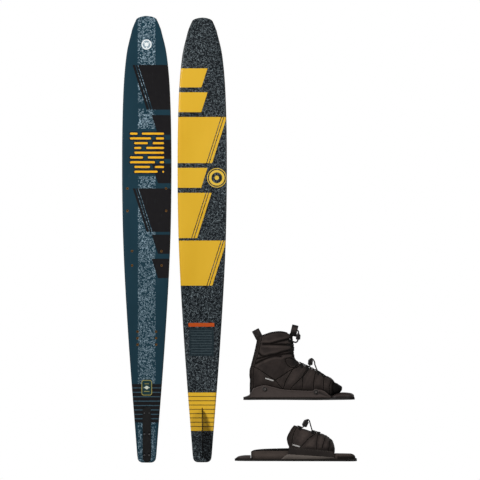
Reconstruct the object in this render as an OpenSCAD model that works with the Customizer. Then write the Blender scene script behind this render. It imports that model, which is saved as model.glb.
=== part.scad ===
// Slalom water ski pair with a lace-up front boot and a rear toe plate, laid out upright side by side.
// Frame: +Z runs up the skis from tail to tip, +X to the right, +Y away from the viewer.
// The left ski shows its top face to -Y. The right ski is the same ski turned half round, so it shows
// its base.
// The origin is at the bottom centre of the whole set. Lengths are in millimetres.

/* [Ski] */
// Length of each ski, from the tail to the tip
ski_length = 1651; // [1550:1:1750]
// Greatest width of each ski
ski_width = 183; // [176:1:190]
// Thickness of the ski under the bindings
ski_thickness = 18; // [16:0.5:22]
// How far the tip sweeps up from the flat binding zone
tip_rise = 43; // [30:1:55]
// Thickness of the printed top skin
top_skin = 0.8; // [0.6:0.1:1.2]
// Thickness of the base laminate
base_skin = 1.6; // [1.2:0.1:2.4]

/* [Binding inserts] */
// Half the spacing across the ski of the two forward insert rows
front_insert_x = 71.5; // [66:0.5:74]
// Half the spacing across the ski of the two middle insert rows
middle_insert_x = 54.5; // [50:0.5:58]
// Half the spacing across the ski of the three rear insert rows
rear_insert_x = 34.3; // [30:0.1:38]
// Bore radius of every threaded insert
insert_bore_r = 3; // [2.5:0.1:3.2]
// Outer radius of every threaded insert
insert_r = 5; // [4.5:0.1:6]

/* [Fin] */
// Length of the fin along the ski
fin_length = 175; // [165:1:180]
// Depth of the fin below the base
fin_depth = 62; // [55:1:65]
// Thickness of the fin plate
fin_thickness = 1.6; // [1.4:0.1:2]
// Length of the fin block
block_length = 200; // [196:1:202]
// Width of the fin block
block_width = 30; // [28:1:34]
// Height of the fin block
block_height = 7; // [6:0.5:8]

/* [Bindings] */
// Thickness of both binding plates
plate_t = 7; // [5:0.5:8]
// Length of the boot's plate
boot_plate_length = 412; // [406:1:420]
// Length of the toe plate
toe_plate_length = 452; // [446:1:456]
// Height of the boot's plate above the floor in this layout
boot_z = 234; // [200:1:260]
// Radius of the screw holes in both binding plates
plate_hole_r = 3.3; // [3.1:0.1:3.6]

/* [Layout] */
// Gap between the two skis at their widest
ski_gap = 22; // [15:1:40]

/* [Hidden] */
$fn = 48;

eps = 0.01;
// Clearance round threaded and bolted pieces
fit_gap = 0.05;
half_w = ski_width / 2;

// Where things stand in the layout, across the frame
total_w = 869;
left_ski_x = -total_w / 2 + half_w;
right_ski_x = left_ski_x + ski_width + ski_gap;
toe_x = total_w / 2 - toe_plate_length;
toe_z = 7.5;
boot_x = toe_x + 32;

// ---------- curves ----------

// One point of a Catmull-Rom curve between p1 and p2
function catmull(p0, p1, p2, p3, t) =
    0.5 * (2 * p1 + (p2 - p0) * t
        + (2 * p0 - 5 * p1 + 4 * p2 - p3) * t * t
        + (3 * p1 - p0 - 3 * p2 + p3) * t * t * t);

// A closed smooth loop through the points, with n steps between neighbours
function smooth_loop(p, n = 4) = [
    for (i = [0 : len(p) - 1])
        for (k = [0 : n - 1])
            catmull(p[(i + len(p) - 1) % len(p)], p[i],
                    p[(i + 1) % len(p)], p[(i + 2) % len(p)], k / n)
];

// An open smooth line through the points
function smooth_path(p, n = 4) = let (e = len(p) - 1) concat([
    for (i = [0 : e - 1])
        for (k = [0 : n - 1])
            catmull(p[max(i - 1, 0)], p[i], p[i + 1], p[min(i + 2, e)], k / n)
], [p[e]]);

// A clockwise outline drawn in by d
function drawn_in(p, d) = [
    for (i = [0 : len(p) - 1])
        let (t = p[(i + 1) % len(p)] - p[(i + len(p) - 1) % len(p)])
        p[i] + d * [t[1], -t[0]] / norm(t)
];

// An outline held between two limits along its first axis
function clamped(p, a, b) = [for (q = p) [min(max(q[0], a), b), q[1]]];

// An ellipse about c with half axes a and b
function ellipse(c, a, b, step = 10) = [for (t = [0 : step : 359]) c + [a * cos(t), b * sin(t)]];

function mirrored(p) = [for (i = [len(p) - 1 : -1 : 0]) [-p[i][0], p[i][1]]];

// ---------- ski outline and side profile ----------

tail_corner_r = 18;
tip_corner_half = 37;
tip_crown = 9.4;
// Stations of the planform: share of the length, then share of the half width
stations = [
    [0.018, 0.390], [0.270, 0.734], [0.486, 0.948], [0.674, 1.000],
    [0.827, 0.946], [0.9165, 0.806], [0.970, 0.583]
];

// Slope of the outline at station i, from its neighbours
function station_slope(i) =
    let (a = stations[max(i - 1, 0)], b = stations[min(i + 1, len(stations) - 1)])
    (b[1] - a[1]) / (b[0] - a[0]);

// A cubic piece of the outline between station i and the next
function station_piece(i, t) =
    let (a = stations[i], b = stations[i + 1], w = b[0] - a[0])
    (2 * t ^ 3 - 3 * t ^ 2 + 1) * a[1] + (t ^ 3 - 2 * t ^ 2 + t) * w * station_slope(i)
    + (3 * t ^ 2 - 2 * t ^ 3) * b[1] + (t ^ 3 - t ^ 2) * w * station_slope(i + 1);

outline_steps = 6;
outline_side = concat(
    // rounded tail corner
    [for (a = [0 : 15 : 75])
        [half_w * 0.372 - tail_corner_r * (1 - sin(a)), tail_corner_r * (1 - cos(a))]],
    // long running edge
    [for (i = [0 : len(stations) - 2])
        for (k = [0 : outline_steps - 1])
            let (t = k / outline_steps,
                 f = stations[i][0] + (stations[i + 1][0] - stations[i][0]) * t)
            [half_w * station_piece(i, t), ski_length * f]],
    [[half_w * 0.583, ski_length * 0.970]],
    // blunt tip, crowned in the middle
    [[tip_corner_half + 1, ski_length - tip_crown - 4],
     [tip_corner_half - 4, ski_length - tip_crown + 0.6]],
    [for (x = [22, 11]) [x, ski_length - tip_crown * (x / tip_corner_half) ^ 2]]
);
ski_outline = concat(outline_side, [[0, ski_length]], mirrored(outline_side));

// The top face is flat through the binding zone, sweeps up to the tip and eases down to the tail.
flat_from = 400;
flat_to = 1060;
tail_drop = 2;
function top_y(z) =
    -ski_thickness
    - (z > flat_to ? tip_rise * ((z - flat_to) / (ski_length - flat_to)) ^ 2 : 0)
    + (z < flat_from ? tail_drop * ((flat_from - z) / flat_from) ^ 2 : 0);

tip_thickness = 7;
tail_thickness = 10;
thick_from = 520;
thick_to = 860;
function thickness(z) =
    ski_thickness
    - (z > thick_to ? (ski_thickness - tip_thickness) * ((z - thick_to) / (ski_length - thick_to)) ^ 1.4 : 0)
    - (z < thick_from ? (ski_thickness - tail_thickness) * ((thick_from - z) / thick_from) ^ 1.4 : 0);
function base_y(z) = top_y(z) + thickness(z);

profile_z = concat([0, 60, 120, 180, 240, 320, 400, 520], [700, 860, 960, 1060],
    [for (z = [1120 : 59 : ski_length]) z], [ski_length + 1]);

// A slab of the ski between two depths: from the top face plus a, to the base face minus b
module ski_slab(a, b) {
    top_line = [for (z = profile_z) [top_y(z) + a, z]];
    base_line = [for (i = [len(profile_z) - 1 : -1 : 0]) [base_y(profile_z[i]) - b, profile_z[i]]];
    intersection() {
        rotate([90, 0, 90]) translate([0, 0, -ski_width]) linear_extrude(2 * ski_width)
            polygon(concat(top_line, base_line));
        rotate([90, 0, 0]) translate([0, 0, -40]) linear_extrude(160) polygon(ski_outline);
    }
}

// The top skin keeps thickness t measured from the top face
module top_slab(t) {
    top_line = [for (z = profile_z) [top_y(z), z]];
    under = [for (i = [len(profile_z) - 1 : -1 : 0]) [top_y(profile_z[i]) + t, profile_z[i]]];
    intersection() {
        rotate([90, 0, 90]) translate([0, 0, -ski_width]) linear_extrude(2 * ski_width)
            polygon(concat(top_line, under));
        rotate([90, 0, 0]) translate([0, 0, -40]) linear_extrude(160) polygon(ski_outline);
    }
}

module base_slab(t) {
    over = [for (z = profile_z) [base_y(z) - t, z]];
    base_line = [for (i = [len(profile_z) - 1 : -1 : 0]) [base_y(profile_z[i]), profile_z[i]]];
    intersection() {
        rotate([90, 0, 90]) translate([0, 0, -ski_width]) linear_extrude(2 * ski_width)
            polygon(concat(over, base_line));
        rotate([90, 0, 0]) translate([0, 0, -40]) linear_extrude(160) polygon(ski_outline);
    }
}

// ---------- binding inserts ----------

front_rows = [1015, 932];
middle_rows = [783, 730];
rear_rows = [485, 461, 437];
insert_places = concat(
    [for (z = front_rows) for (s = [-1, 1]) [s * front_insert_x, z]],
    [for (z = middle_rows) for (s = [-1, 1]) [s * middle_insert_x, z]],
    [for (z = rear_rows) for (s = [-1, 1]) [s * rear_insert_x, z]]
);
insert_depth = 10;

// A cylinder of radius r along +Y, from depth y0 to depth y1
module along_y(r, y0, y1) translate([0, y0, 0]) rotate([-90, 0, 0]) cylinder(r = r, h = y1 - y0);

module at_inserts() for (p = insert_places) translate([p[0], 0, p[1]]) children();

// ---------- fin and fin block ----------

block_z0 = 6;
block_floor = -12.5;
block_travel = 4.5;
fin_travel = 2.5;
fin_z0 = 22;
fin_slot_w = fin_thickness + 0.6;
pair_x = 9;
screw_rows = [28, 106];
set_screw_row = 184;
screw_shank_r = 2;
screw_head_r = 3.6;

// A capsule in the X-Z plane: width w, from z0 to z1, through depth y0 to y1
module capsule(w, z0, z1, y0, y1) {
    translate([-w / 2, y0, z0 + w / 2]) cube([w, y1 - y0, z1 - z0 - w]);
    translate([0, 0, z0 + w / 2]) along_y(w / 2, y0, y1);
    translate([0, 0, z1 - w / 2]) along_y(w / 2, y0, y1);
}

// The pocket in the ski for the fin block, with room for its travel
module block_pocket() {
    capsule(block_width + 0.8, 1, block_z0 + block_length + block_travel + 0.5, -40, block_floor);
    translate([-fin_slot_w / 2 - 0.4, block_floor - 1, fin_z0 - block_travel - 1])
        cube([fin_slot_w + 0.8, 40, fin_length + 2 * block_travel + 2]);
    for (z = screw_rows) for (s = [-1, 1])
        translate([s * pair_x, 0, z]) along_y(screw_shank_r + fit_gap, block_floor - 1, block_floor + 5.1);
}

module ski_core() color([0.16, 0.15, 0.14]) difference() {
    ski_slab(top_skin, base_skin);
    block_pocket();
    at_inserts() along_y(insert_r + fit_gap, -ski_thickness - 1, top_skin + insert_depth - ski_thickness);
}

module ski_base() color([0.89, 0.69, 0.18]) difference() {
    base_slab(base_skin);
    translate([-fin_slot_w / 2 - 0.4, block_floor - 1, fin_z0 - block_travel - 1])
        cube([fin_slot_w + 0.8, 40, fin_length + 2 * block_travel + 2]);
}

module ski_topsheet() color([0.12, 0.24, 0.29]) difference() {
    top_slab(top_skin);
    block_pocket();
    at_inserts() along_y(insert_bore_r, -ski_thickness - 1, 0);
}

module ski_inserts() color([0.55, 0.42, 0.22])
    at_inserts() difference() {
        along_y(insert_r, top_skin - ski_thickness, top_skin + insert_depth - ski_thickness);
        along_y(insert_bore_r, -ski_thickness - 1, insert_depth - ski_thickness - 1);
    }

module fin_block() color([0.04, 0.04, 0.045]) difference() {
    capsule(block_width, block_z0, block_z0 + block_length, block_floor - block_height, block_floor);
    translate([-fin_slot_w / 2, block_floor - 5.8, fin_z0 - 1]) cube([fin_slot_w, 20, fin_length + 2]);
    for (z = screw_rows) for (s = [-1, 1]) translate([s * pair_x, 0, z]) {
        capsule(2 * screw_shank_r + 0.4, -screw_shank_r - block_travel - 0.2,
            screw_shank_r + block_travel + 0.2, -40, block_floor + 1);
        capsule(2 * screw_head_r + 0.6, -screw_head_r - block_travel - 0.3,
            screw_head_r + block_travel + 0.3, -40, block_floor - 3);
    }
    for (s = [-1, 1]) translate([s * pair_x, 0, set_screw_row])
        along_y(2.5 + fit_gap, -40, block_floor - 2);
}

module fin_block_screws() color([0.30, 0.30, 0.31])
    for (z = screw_rows) for (s = [-1, 1]) translate([s * pair_x, 0, z]) difference() {
        union() {
            along_y(screw_shank_r, block_floor - 4, block_floor + 5);
            along_y(screw_head_r, block_floor - 6, block_floor - 3);
        }
        rotate([0, 30, 0]) along_y_hex(1.5, block_floor - 7, block_floor - 4.4);
    }

// A hexagonal socket along +Y
module along_y_hex(r, y0, y1)
    translate([0, y0, 0]) rotate([-90, 0, 0]) cylinder(r = r, h = y1 - y0, $fn = 6);

module fin_set_screws() color([0.30, 0.30, 0.31])
    for (s = [-1, 1]) translate([s * pair_x, 0, set_screw_row]) difference() {
        along_y(2.5, block_floor - 6.4, block_floor - 2);
        along_y_hex(1.3, block_floor - 7, block_floor - 4);
    }

// The fin's outline, from its root at the front round its tip to the root at the back
fin_root_y = block_floor - 3;
fin_shape = concat(
    [[fin_root_y, fin_length], [1, fin_length]],
    [for (a = [10 : 10 : 80]) [fin_depth * sin(a) - 4, 62 + (fin_length - 62) * cos(a)]],
    [[fin_depth - 3, 52], [fin_depth - 4, 34], [fin_depth - 9, 22],
     [fin_depth - 22, 10], [22, 3], [0, 0], [fin_root_y, 0]]
);
fin_hole_r = 3.5;
fin_hole_count = 5;

module fin() color([0.05, 0.05, 0.055]) difference() {
    translate([0, 0, fin_z0]) rotate([90, 0, 90]) translate([0, 0, -fin_thickness / 2])
        linear_extrude(fin_thickness) polygon(fin_shape);
    for (i = [0 : fin_hole_count - 1])
        translate([-5, 14 + 3 * i, fin_z0 + 128 - 19 * i]) rotate([0, 90, 0])
            cylinder(r = fin_hole_r, h = 10);
}

module left() translate([left_ski_x, 0, 0]) children();
module right() translate([right_ski_x, 0, 0]) rotate([0, 0, 180]) children();

// ---------- helpers for the bindings ----------

// A side profile in the X-Z plane, given width from y0 to y1
module side_slab(y0, y1) translate([0, y1, 0]) rotate([90, 0, 0]) linear_extrude(y1 - y0) children();

// A plan profile in the X-Y plane, from z0 to z1
module plan_slab(z0, z1) translate([0, 0, z0]) linear_extrude(z1 - z0) children();

module plate_holes(x, y) for (s = [-1, 1]) translate([x, s * y, -1]) cylinder(r = plate_hole_r, h = 60);

// A tag, loop or strip, rotated in the side view by a degrees about its centre
module side_box(cx, cz, w, h, a, y0, y1)
    translate([cx, 0, cz]) rotate([0, -a, 0]) translate([-w / 2, y0, -h / 2]) cube([w, y1 - y0, h]);

// ---------- boot ----------

boot_rear_hole_x = 25;
boot_front_hole_x = boot_rear_hole_x + front_rows[0] - middle_rows[0];
ankle = [105, 95];
rail_y = 46;
rail_t = 4;
bolt_places = [[79, 39.5], [268, 29]];

boot_plate_outline = let (l = boot_plate_length) clamped(smooth_loop([
    [0, -40], [2, -62], [24, -66], [60, -58], [130, -58], [200, -70], [257, -80], [300, -74],
    [350, -58], [l - 20, -44], [l, -20],
    [l, 20], [l - 20, 44], [350, 58], [300, 74], [257, 80], [200, 70], [130, 58],
    [60, 58], [24, 66], [2, 62], [0, 40]
], 3), 0, l);

// The whole boot's silhouette from the side, without loops and laces, from the sole up the back
boot_line = smooth_path([
    [26, 15], [24, 60], [22, 105], [31, 132], [40, 170], [49, 214], [56, 232],
    [74, 237], [106, 247], [136, 250], [161, 246.5], [176, 231], [182, 197], [184.5, 168],
    [196.5, 144.5], [233, 128], [270, 110], [302, 89], [325, 78], [339, 62], [343, 36], [340, 15]
], 3);
top_z = 200;

// The hollow's outline: drawn in by d, and raised through the top and the sole where it is open
function hollow_line(d) = [for (p = drawn_in(boot_line, d))
    [p[0], p[1] > top_z ? top_z + 2.5 * (p[1] - top_z) : p[1] < 22 ? 0 : p[1]]];

// The foot's outline in plan, for a half width grown by g
function foot_plan(g) = smooth_loop([
    [24 - g, 0], [27 - g, 14 + g / 2], [40 - g / 2, 31 + g], [66, 41 + g], [120, 44.5 + g],
    [190, 44.5 + g], [260, 45.3 + g], [310, 42 + g], [336 + g / 2, 28 + g], [346 + g, 0],
    [336 + g / 2, -28 - g], [310, -42 - g], [260, -45.3 - g], [190, -44.5 - g],
    [120, -44.5 - g], [66, -41 - g], [40 - g / 2, -31 - g], [27 - g, -14 - g / 2]
], 3);

// Wedges of the side view that part the cuff from the foot, seen from the ankle
ankle_disc = 57;
ankle_gap = 1.5;
cuff_front_angle = 42;
cuff_back_angle = 150;
foot_front_angle = 25;
foot_back_angle = 158;
function ray(a, r = 400) = ankle + r * [cos(a), sin(a)];
module cuff_zone() {
    polygon(concat([ankle], [for (a = [cuff_front_angle : 12 : cuff_back_angle]) ray(a)]));
    translate(ankle) circle(r = ankle_disc);
}
module foot_zone() difference() {
    polygon(concat([ankle], [for (a = [foot_back_angle : 14.1875 : 360 + foot_front_angle]) ray(a)]));
    translate(ankle) circle(r = ankle_disc + ankle_gap);
}

// The foot and the leg of the boot as solid forms, drawn in by an inset
leg_half = [88, 45.8];
leg_lean = 5.5;
leg_square = 2.6;
function rounded(t) = sign(t) * abs(t) ^ (2 / leg_square);
function leg_plan(d) = [for (t = [0 : 10 : 350])
    [(leg_half[0] - d) * rounded(cos(t)), (leg_half[1] - d) * rounded(sin(t))]];
module leg_column(inset) translate([97, 0, 30]) rotate([0, leg_lean, 0])
    linear_extrude(240, scale = 0.8) polygon(leg_plan(inset));
module leg_solid(inset) intersection() {
    side_slab(-60, 60) polygon(drawn_in(boot_line, inset));
    leg_column(inset);
}
module leg_hollow(inset) intersection() {
    side_slab(-60, 60) polygon(hollow_line(inset));
    leg_column(inset);
}
module foot_solid(inset) intersection() {
    side_slab(-60, 60) polygon(drawn_in(boot_line, inset));
    plan_slab(0, 148) polygon(foot_plan(-inset));
}
module foot_hollow(inset) intersection() {
    side_slab(-60, 60) polygon(hollow_line(inset));
    plan_slab(0, 148) polygon(foot_plan(-inset));
}

footbed_z = plate_t + 8.2;

module boot_plate() color([0.13, 0.12, 0.11]) difference() {
    plan_slab(0, plate_t) polygon(boot_plate_outline);
    plate_holes(boot_rear_hole_x, middle_insert_x);
    plate_holes(boot_front_hole_x, front_insert_x);
    for (p = bolt_places) for (s = [-1, 1])
        translate([p[0] + 14, s * (rail_y - 6), -1]) cylinder(r = 2.2 + fit_gap, h = plate_t + 2);
}

module boot_footbed() color([0.10, 0.10, 0.10])
    difference() {
        intersection() {
            plan_slab(plate_t, footbed_z - 0.2) polygon(foot_plan(-1));
            translate([25, -60, 0]) cube([313, 120, 30]);
        }
        for (p = bolt_places) for (s = [-1, 1])
            translate([p[0] + 14, s * (rail_y - 6), 0]) cylinder(r = 4.6, h = 30);
        for (p = bolt_places) for (s = [-1, 1])
            translate([p[0] + 5, s > 0 ? rail_y - 10.5 : -rail_y, 0]) cube([18, 10.5, 30]);
    }

// The raised pad in front of the toe
module boot_toe_riser() color([0.17, 0.15, 0.14])
    intersection() {
        side_slab(-60, 60) polygon(concat([[339.5, plate_t], [339.5, 15.4], [352, 15.4]], smooth_path([
            [353, 23], [360, 24.6], [374, 25], [389, 23], [403, 19.5], [409, 14.5]], 3),
            [[410.5, plate_t]]));
        plan_slab(0, 40) polygon(concat([[338, 44]], smooth_path([
            [352, 43], [380, 39], [402, 26], [411, 0], [402, -26], [380, -39], [352, -43]], 3),
            [[338, -44]]));
    }

// The bracket that joins the two rails behind the heel
module boot_heel_bridge() color([0.15, 0.14, 0.13])
    side_slab(1 - rail_y, rail_y - 1) polygon([[3, plate_t], [10, 9.6], [17, 12], [21, 15],
        [23.6, 21], [23.6, plate_t]]);

rail_shape = [
    [3, plate_t], [10, 9.6], [17, 12], [22, 15], [26, 20], [30, 30], [36, 40], [48, 45.5], [66, 52.5], [79, 54.5], [90, 52], [112, 47], [140, 40],
    [172, 36.5], [215, 34.5], [256, 33], [263, 36], [275, 38], [286, 37.5], [302, 30.5], [317, 18],
    [327, plate_t]
];

// A side rail on the side s, with two feet that are screwed down to the plate
module rail(s) difference() {
    union() {
        side_slab(s > 0 ? rail_y : -rail_y - rail_t, s > 0 ? rail_y + rail_t : -rail_y)
            polygon(rail_shape);
        for (p = bolt_places) translate([p[0] + 6, s > 0 ? rail_y - 10 : -rail_y - eps, plate_t])
            cube([16, 10 + eps, 3]);
    }
    for (p = bolt_places) translate([p[0], 0, p[1]]) along_y(3 + fit_gap,
        s > 0 ? rail_y - 1 : -rail_y - rail_t - 1, s > 0 ? rail_y + rail_t + 1 : -rail_y + 1);
    for (p = bolt_places) translate([p[0] + 14, s * (rail_y - 6), 0])
        cylinder(r = 2.2 + fit_gap, h = 30);
}

module boot_outer_rail() color([0.29, 0.255, 0.245]) rail(-1);
module boot_inner_rail() color([0.29, 0.255, 0.245]) rail(1);

module boot_rail_bolts() color([0.06, 0.06, 0.06])
    for (p = bolt_places) for (s = [-1, 1]) translate([p[0], 0, p[1]])
        mirror([0, s > 0 ? 1 : 0, 0]) difference() {
            union() {
                along_y(3, -rail_y - rail_t - 1, -rail_y);
                along_y(7.4, -rail_y - rail_t - 3.6, -rail_y - rail_t);
            }
            along_y_hex(2.4, -rail_y - rail_t - 4, -rail_y - rail_t - 1.8);
        }

module boot_rail_screws() color([0.35, 0.35, 0.36])
    for (p = bolt_places) for (s = [-1, 1]) translate([p[0] + 14, s * (rail_y - 6), 0]) {
        translate([0, 0, 1]) cylinder(r = 2.2, h = plate_t + 2);
        translate([0, 0, plate_t + 3]) cylinder(r = 4, h = 2.5);
    }

// The soft upper's own sizes
shell_t = 7;
liner_t = 5;
slot_half = 13;
vamp_slot = [206, 318];

module boot_shell() color([0.195, 0.172, 0.162]) difference() {
    intersection() {
        foot_solid(0);
        side_slab(-60, 60) foot_zone();
        translate([0, -60, footbed_z]) cube([338, 120, 200]);
    }
    foot_hollow(shell_t);
    // the lacing slot over the instep
    translate([vamp_slot[0], -slot_half, 60]) cube([vamp_slot[1] - vamp_slot[0], 2 * slot_half, 100]);
}

// The stretch of the boot's line between two heights and two lengths, drawn in by d
function part_line(d, x0, x1, z0, z1) =
    [for (p = drawn_in(boot_line, d)) if (p[0] > x0 && p[0] < x1 && p[1] > z0 && p[1] < z1) p];
function back_to_front(p) = [for (i = [len(p) - 1 : -1 : 0]) p[i]];

// The gusset that fills the lacing slot
module boot_gusset() color([0.06, 0.055, 0.05])
    side_slab(0.4 - slot_half, slot_half - 0.4) polygon(concat(
        part_line(2, vamp_slot[0] + 1, vamp_slot[1] - 1, 60, 150),
        back_to_front(part_line(6, vamp_slot[0] + 1, vamp_slot[1] - 1, 60, 150))));

module boot_toe_liner() color([0.07, 0.065, 0.06])
    intersection() {
        side_slab(-60, 60) polygon(concat([[338.2, 16]], smooth_path([
            [338.2, 64], [344, 62], [352, 57], [361, 49], [365, 42], [360, 33], [353, 28],
            [350.5, 24]], 3), [[350.5, 16]]));
        plan_slab(footbed_z, 90) polygon(smooth_path([
            [334, -36], [350, -32], [361, -19], [365, 0], [361, 19], [350, 32], [334, 36]], 3));
    }

module cuff_window(gap) translate([130, -slot_half - gap, 168]) cube([80, 2 * (slot_half + gap), 120]);

module boot_cuff() color([0.19, 0.165, 0.155]) difference() {
    intersection() {
        leg_solid(0);
        side_slab(-60, 60) cuff_zone();
    }
    leg_hollow(liner_t - 0.5);
    cuff_window(0);
}

module boot_cuff_liner() color([0.08, 0.075, 0.07]) difference() {
    intersection() {
        leg_solid(liner_t - 0.5);
        side_slab(-60, 60) polygon(concat([for (a = [44 : 15 : 149]) ray(a)], [ray(149, 50), ray(44, 50)]));
    }
    leg_hollow(liner_t + 4);
    cuff_window(0.5);
}

module boot_tongue() color([0.06, 0.055, 0.05])
    side_slab(0.4 - slot_half, slot_half - 0.4) polygon(concat(
        [[159.5, 250]], part_line(1.5, 150, 200, 169, 243),
        back_to_front(part_line(6.5, 150, 200, 169, 236)), [[152, 250]]));

// The flap at the top of the tongue, which the pull loop is sewn to
module boot_tongue_flap() color([0.06, 0.055, 0.05]) side_slab(-8.2, 8.2) polygon([
    [153, 250.3], [156, 257], [170, 261], [190, 263], [196, 260], [190, 257.5], [172, 255],
    [162, 250.3]]);

// A webbing pull loop: two legs and a top bar bent over from one side to the other
module pull_loop(p, half, t) difference() {
    side_slab(-half, half) polygon(p);
    side_slab(t - half, half - t) polygon([p[0] + p[0] - p[1] - [3, 0], p[1] + t * loop_up(p) - [3, 0],
        p[2] + t * loop_up(p) + [3, 0], p[3] + p[3] - p[2] + [3, 0]]);
}
function loop_up(p) = (p[0] + p[3] - p[1] - p[2]) / norm(p[0] + p[3] - p[1] - p[2]);

module boot_heel_loop() color([0.09, 0.08, 0.075]) difference() {
    pull_loop([[48, 220], [33, 252], [55, 262], [73, 232]], 12, 2.5);
    leg_solid(-0.3);
}

module boot_tongue_loop() color([0.09, 0.08, 0.075]) difference() {
    pull_loop([[175, 248], [182, 275], [203, 274], [197, 248]], 11, 2.5);
}

// A short run of lace across the slot, and the webbing guides that hold its ends
lace_r = 2;
guide_size = [9, 5, 8];
module lace_bar(p, w) translate([p[0], 0, p[1]]) along_y(lace_r, -w, w);
module lace_guide_pair(p, w) for (s = [-1, 1]) difference() {
    translate([p[0] - guide_size[0] / 2, s > 0 ? w - 4 : -w - 1, p[1] - guide_size[2] / 2])
        cube(guide_size);
    translate([p[0], 0, p[1]]) along_y(lace_r + 0.1, -w - fit_gap, w + fit_gap);
    side_slab(-60, 60) polygon(drawn_in(boot_line, -0.3));
}

instep_laces = [[216, 139.5], [237, 130.5], [277, 110.5], [293, 100.5]];
shin_laces = [[187.5, 184], [186, 200], [184, 216]];
lace_half = 17;

module boot_lower_lace() color([0.12, 0.11, 0.10]) for (p = instep_laces) lace_bar(p, lace_half);
module boot_upper_lace() color([0.12, 0.11, 0.10]) for (p = shin_laces) lace_bar(p, lace_half);
module boot_lower_lace_guides() color([0.05, 0.05, 0.05])
    for (p = instep_laces) lace_guide_pair(p, lace_half);
module boot_upper_lace_guides() color([0.05, 0.05, 0.05])
    for (p = shin_laces) lace_guide_pair(p, lace_half);

// A barrel lock that pinches the lace, standing in the side view and leaning by a degrees
lock_size = [15, 16, 20];
module lace_lock(x, z, a) translate([x, 0, z]) rotate([0, a, 0]) {
    difference() {
        translate(-lock_size / 2) cube(lock_size);
        for (s = [-1, 1]) translate([0, s * 3.6, -15]) cylinder(r = lace_r, h = 30);
    }
    translate([0, 0, lock_size[2] / 2]) cylinder(r = 5, h = 4);
}

module boot_lower_lace_lock() color([0.17, 0.15, 0.145]) lace_lock(248.5, 138.5, 8);
module boot_upper_lace_lock() color([0.17, 0.15, 0.145]) lace_lock(203, 232, 4);

module boot_tag() color([0.78, 0.76, 0.75]) side_box(96, 75, 32, 5, -18, -48, -46.8);

module boot() translate([boot_x, 0, boot_z]) children();

// ---------- toe plate ----------

toe_front_hole_x = toe_plate_length - 27;
toe_rear_hole_x = toe_front_hole_x - (middle_rows[1] - rear_rows[1]);
flange_y = 47;
flange_t = 2.5;

toe_plate_outline = let (l = toe_plate_length) clamped(smooth_loop([
    [0, -14], [14, -34], [60, -44], [150, -48], [220, -54], [300, -56], [370, -60], [l - 27, -63],
    [l - 6, -52], [l, -26],
    [l, 26], [l - 6, 52], [l - 27, 63], [370, 60], [300, 56], [220, 54], [150, 48], [60, 44],
    [14, 34], [0, 14]
], 3), 0, l);

module toe_plate() color([0.13, 0.12, 0.11]) difference() {
    plan_slab(0, plate_t) polygon(toe_plate_outline);
    plate_holes(toe_front_hole_x, middle_insert_x);
    plate_holes(toe_rear_hole_x, rear_insert_x);
}

// The wedge that the foot stands on, in plan
toe_bed_plan = smooth_loop([
    [67, -26], [80, -38], [150, -41], [240, -41.8], [320, -41.8], [380, -40], [430, -30],
    [446, -8], [446, 8], [430, 30], [380, 40], [320, 41.8], [240, 41.8], [150, 41], [80, 38], [67, 26]
], 3);
// The wedge from the side, with its top raised by g
function bed_side(g) = [[60, plate_t], [60, 33 + g], [76, 36.5 + g], [120, 39 + g], [200, 38 + g],
    [280, 31 + g], [370, 25 + g], [430, 24.5 + g], [443, 20 + g], [447 + g, 12], [447 + g, plate_t]];

module toe_plate_footbed() color([0.28, 0.25, 0.24]) difference() {
    intersection() {
        side_slab(-60, 60) polygon(bed_side(0));
        plan_slab(0, 60) polygon(toe_bed_plan);
    }
    for (s = [-1, 1]) translate([toe_rear_hole_x, s * rear_insert_x, 0]) cylinder(r = 5.5, h = 60);
}

module toe_plate_heel_pad() color([0.03, 0.03, 0.03]) difference() {
    intersection() {
        side_slab(-60, 60) polygon([[60, 33], [76, 36.5], [120, 39], [186, 38.2], [186, 41.5],
            [160, 42.5], [120, 42], [76, 38.5], [60, 35]]);
        plan_slab(0, 60) polygon(smooth_loop([
            [69, -24], [82, -36], [150, -41], [188, -42], [192, 0], [188, 42], [150, 41], [82, 36],
            [69, 24], [66, 0]], 3));
    }
    for (s = [-1, 1]) translate([toe_rear_hole_x, s * rear_insert_x, 0]) cylinder(r = 5.5, h = 60);
}

// The hood's silhouette from the side, from its lower rear edge over the top to the toe
hood_line = smooth_path([
    [204, 47], [194, 66], [194, 82], [206, 110], [220, 130], [232, 128], [262, 117], [300, 106],
    [330, 97], [352, 84], [366, 68], [370, 50], [368, 26]
], 3);
hood_half = 46.5;
function hood_hollow_line(d) = concat([[150, 5], [150, 160]],
    [for (p = drawn_in(hood_line, d)) if (p[0] > 222) p], [[368 - d, 5]]);

// The hood seen from the front: straight sides under an arch
module hood_arch(inset) rotate([90, 0, 90]) translate([0, 0, 140]) linear_extrude(300)
    polygon(concat([[hood_half - inset, 4]],
        [for (a = [0 : 12 : 180]) [(hood_half - inset) * cos(a), 58 + (73 - inset) * sin(a)]],
        [[inset - hood_half, 4]]));
module hood_plan(inset) plan_slab(0, 200) polygon(concat([[140, inset - hood_half]], smooth_path([
    [260, inset - hood_half], [320, inset - 45], [354, inset - 33], [371 - inset, 0],
    [354, 33 - inset], [320, 45 - inset], [260, hood_half - inset]], 3), [[140, hood_half - inset]]));
module hood_solid(inset) intersection() {
    side_slab(-60, 60) polygon(concat(drawn_in(hood_line, inset), [[368, 12], [206, 12]]));
    hood_arch(inset);
    hood_plan(inset);
}

// The foot slides in from the back, so the hollow runs out through the rear edge
module hood_hollow(inset) intersection() {
    side_slab(-60, 60) polygon(hood_hollow_line(inset));
    hood_arch(inset);
    hood_plan(inset);
}

module bed_clear() intersection() {
    side_slab(-60, 60) polygon(bed_side(0.4));
    plan_slab(0, 60) polygon(toe_bed_plan);
}

module toe_hood() color([0.20, 0.175, 0.165]) difference() {
    hood_solid(0);
    hood_hollow(4);
    bed_clear();
}

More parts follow.
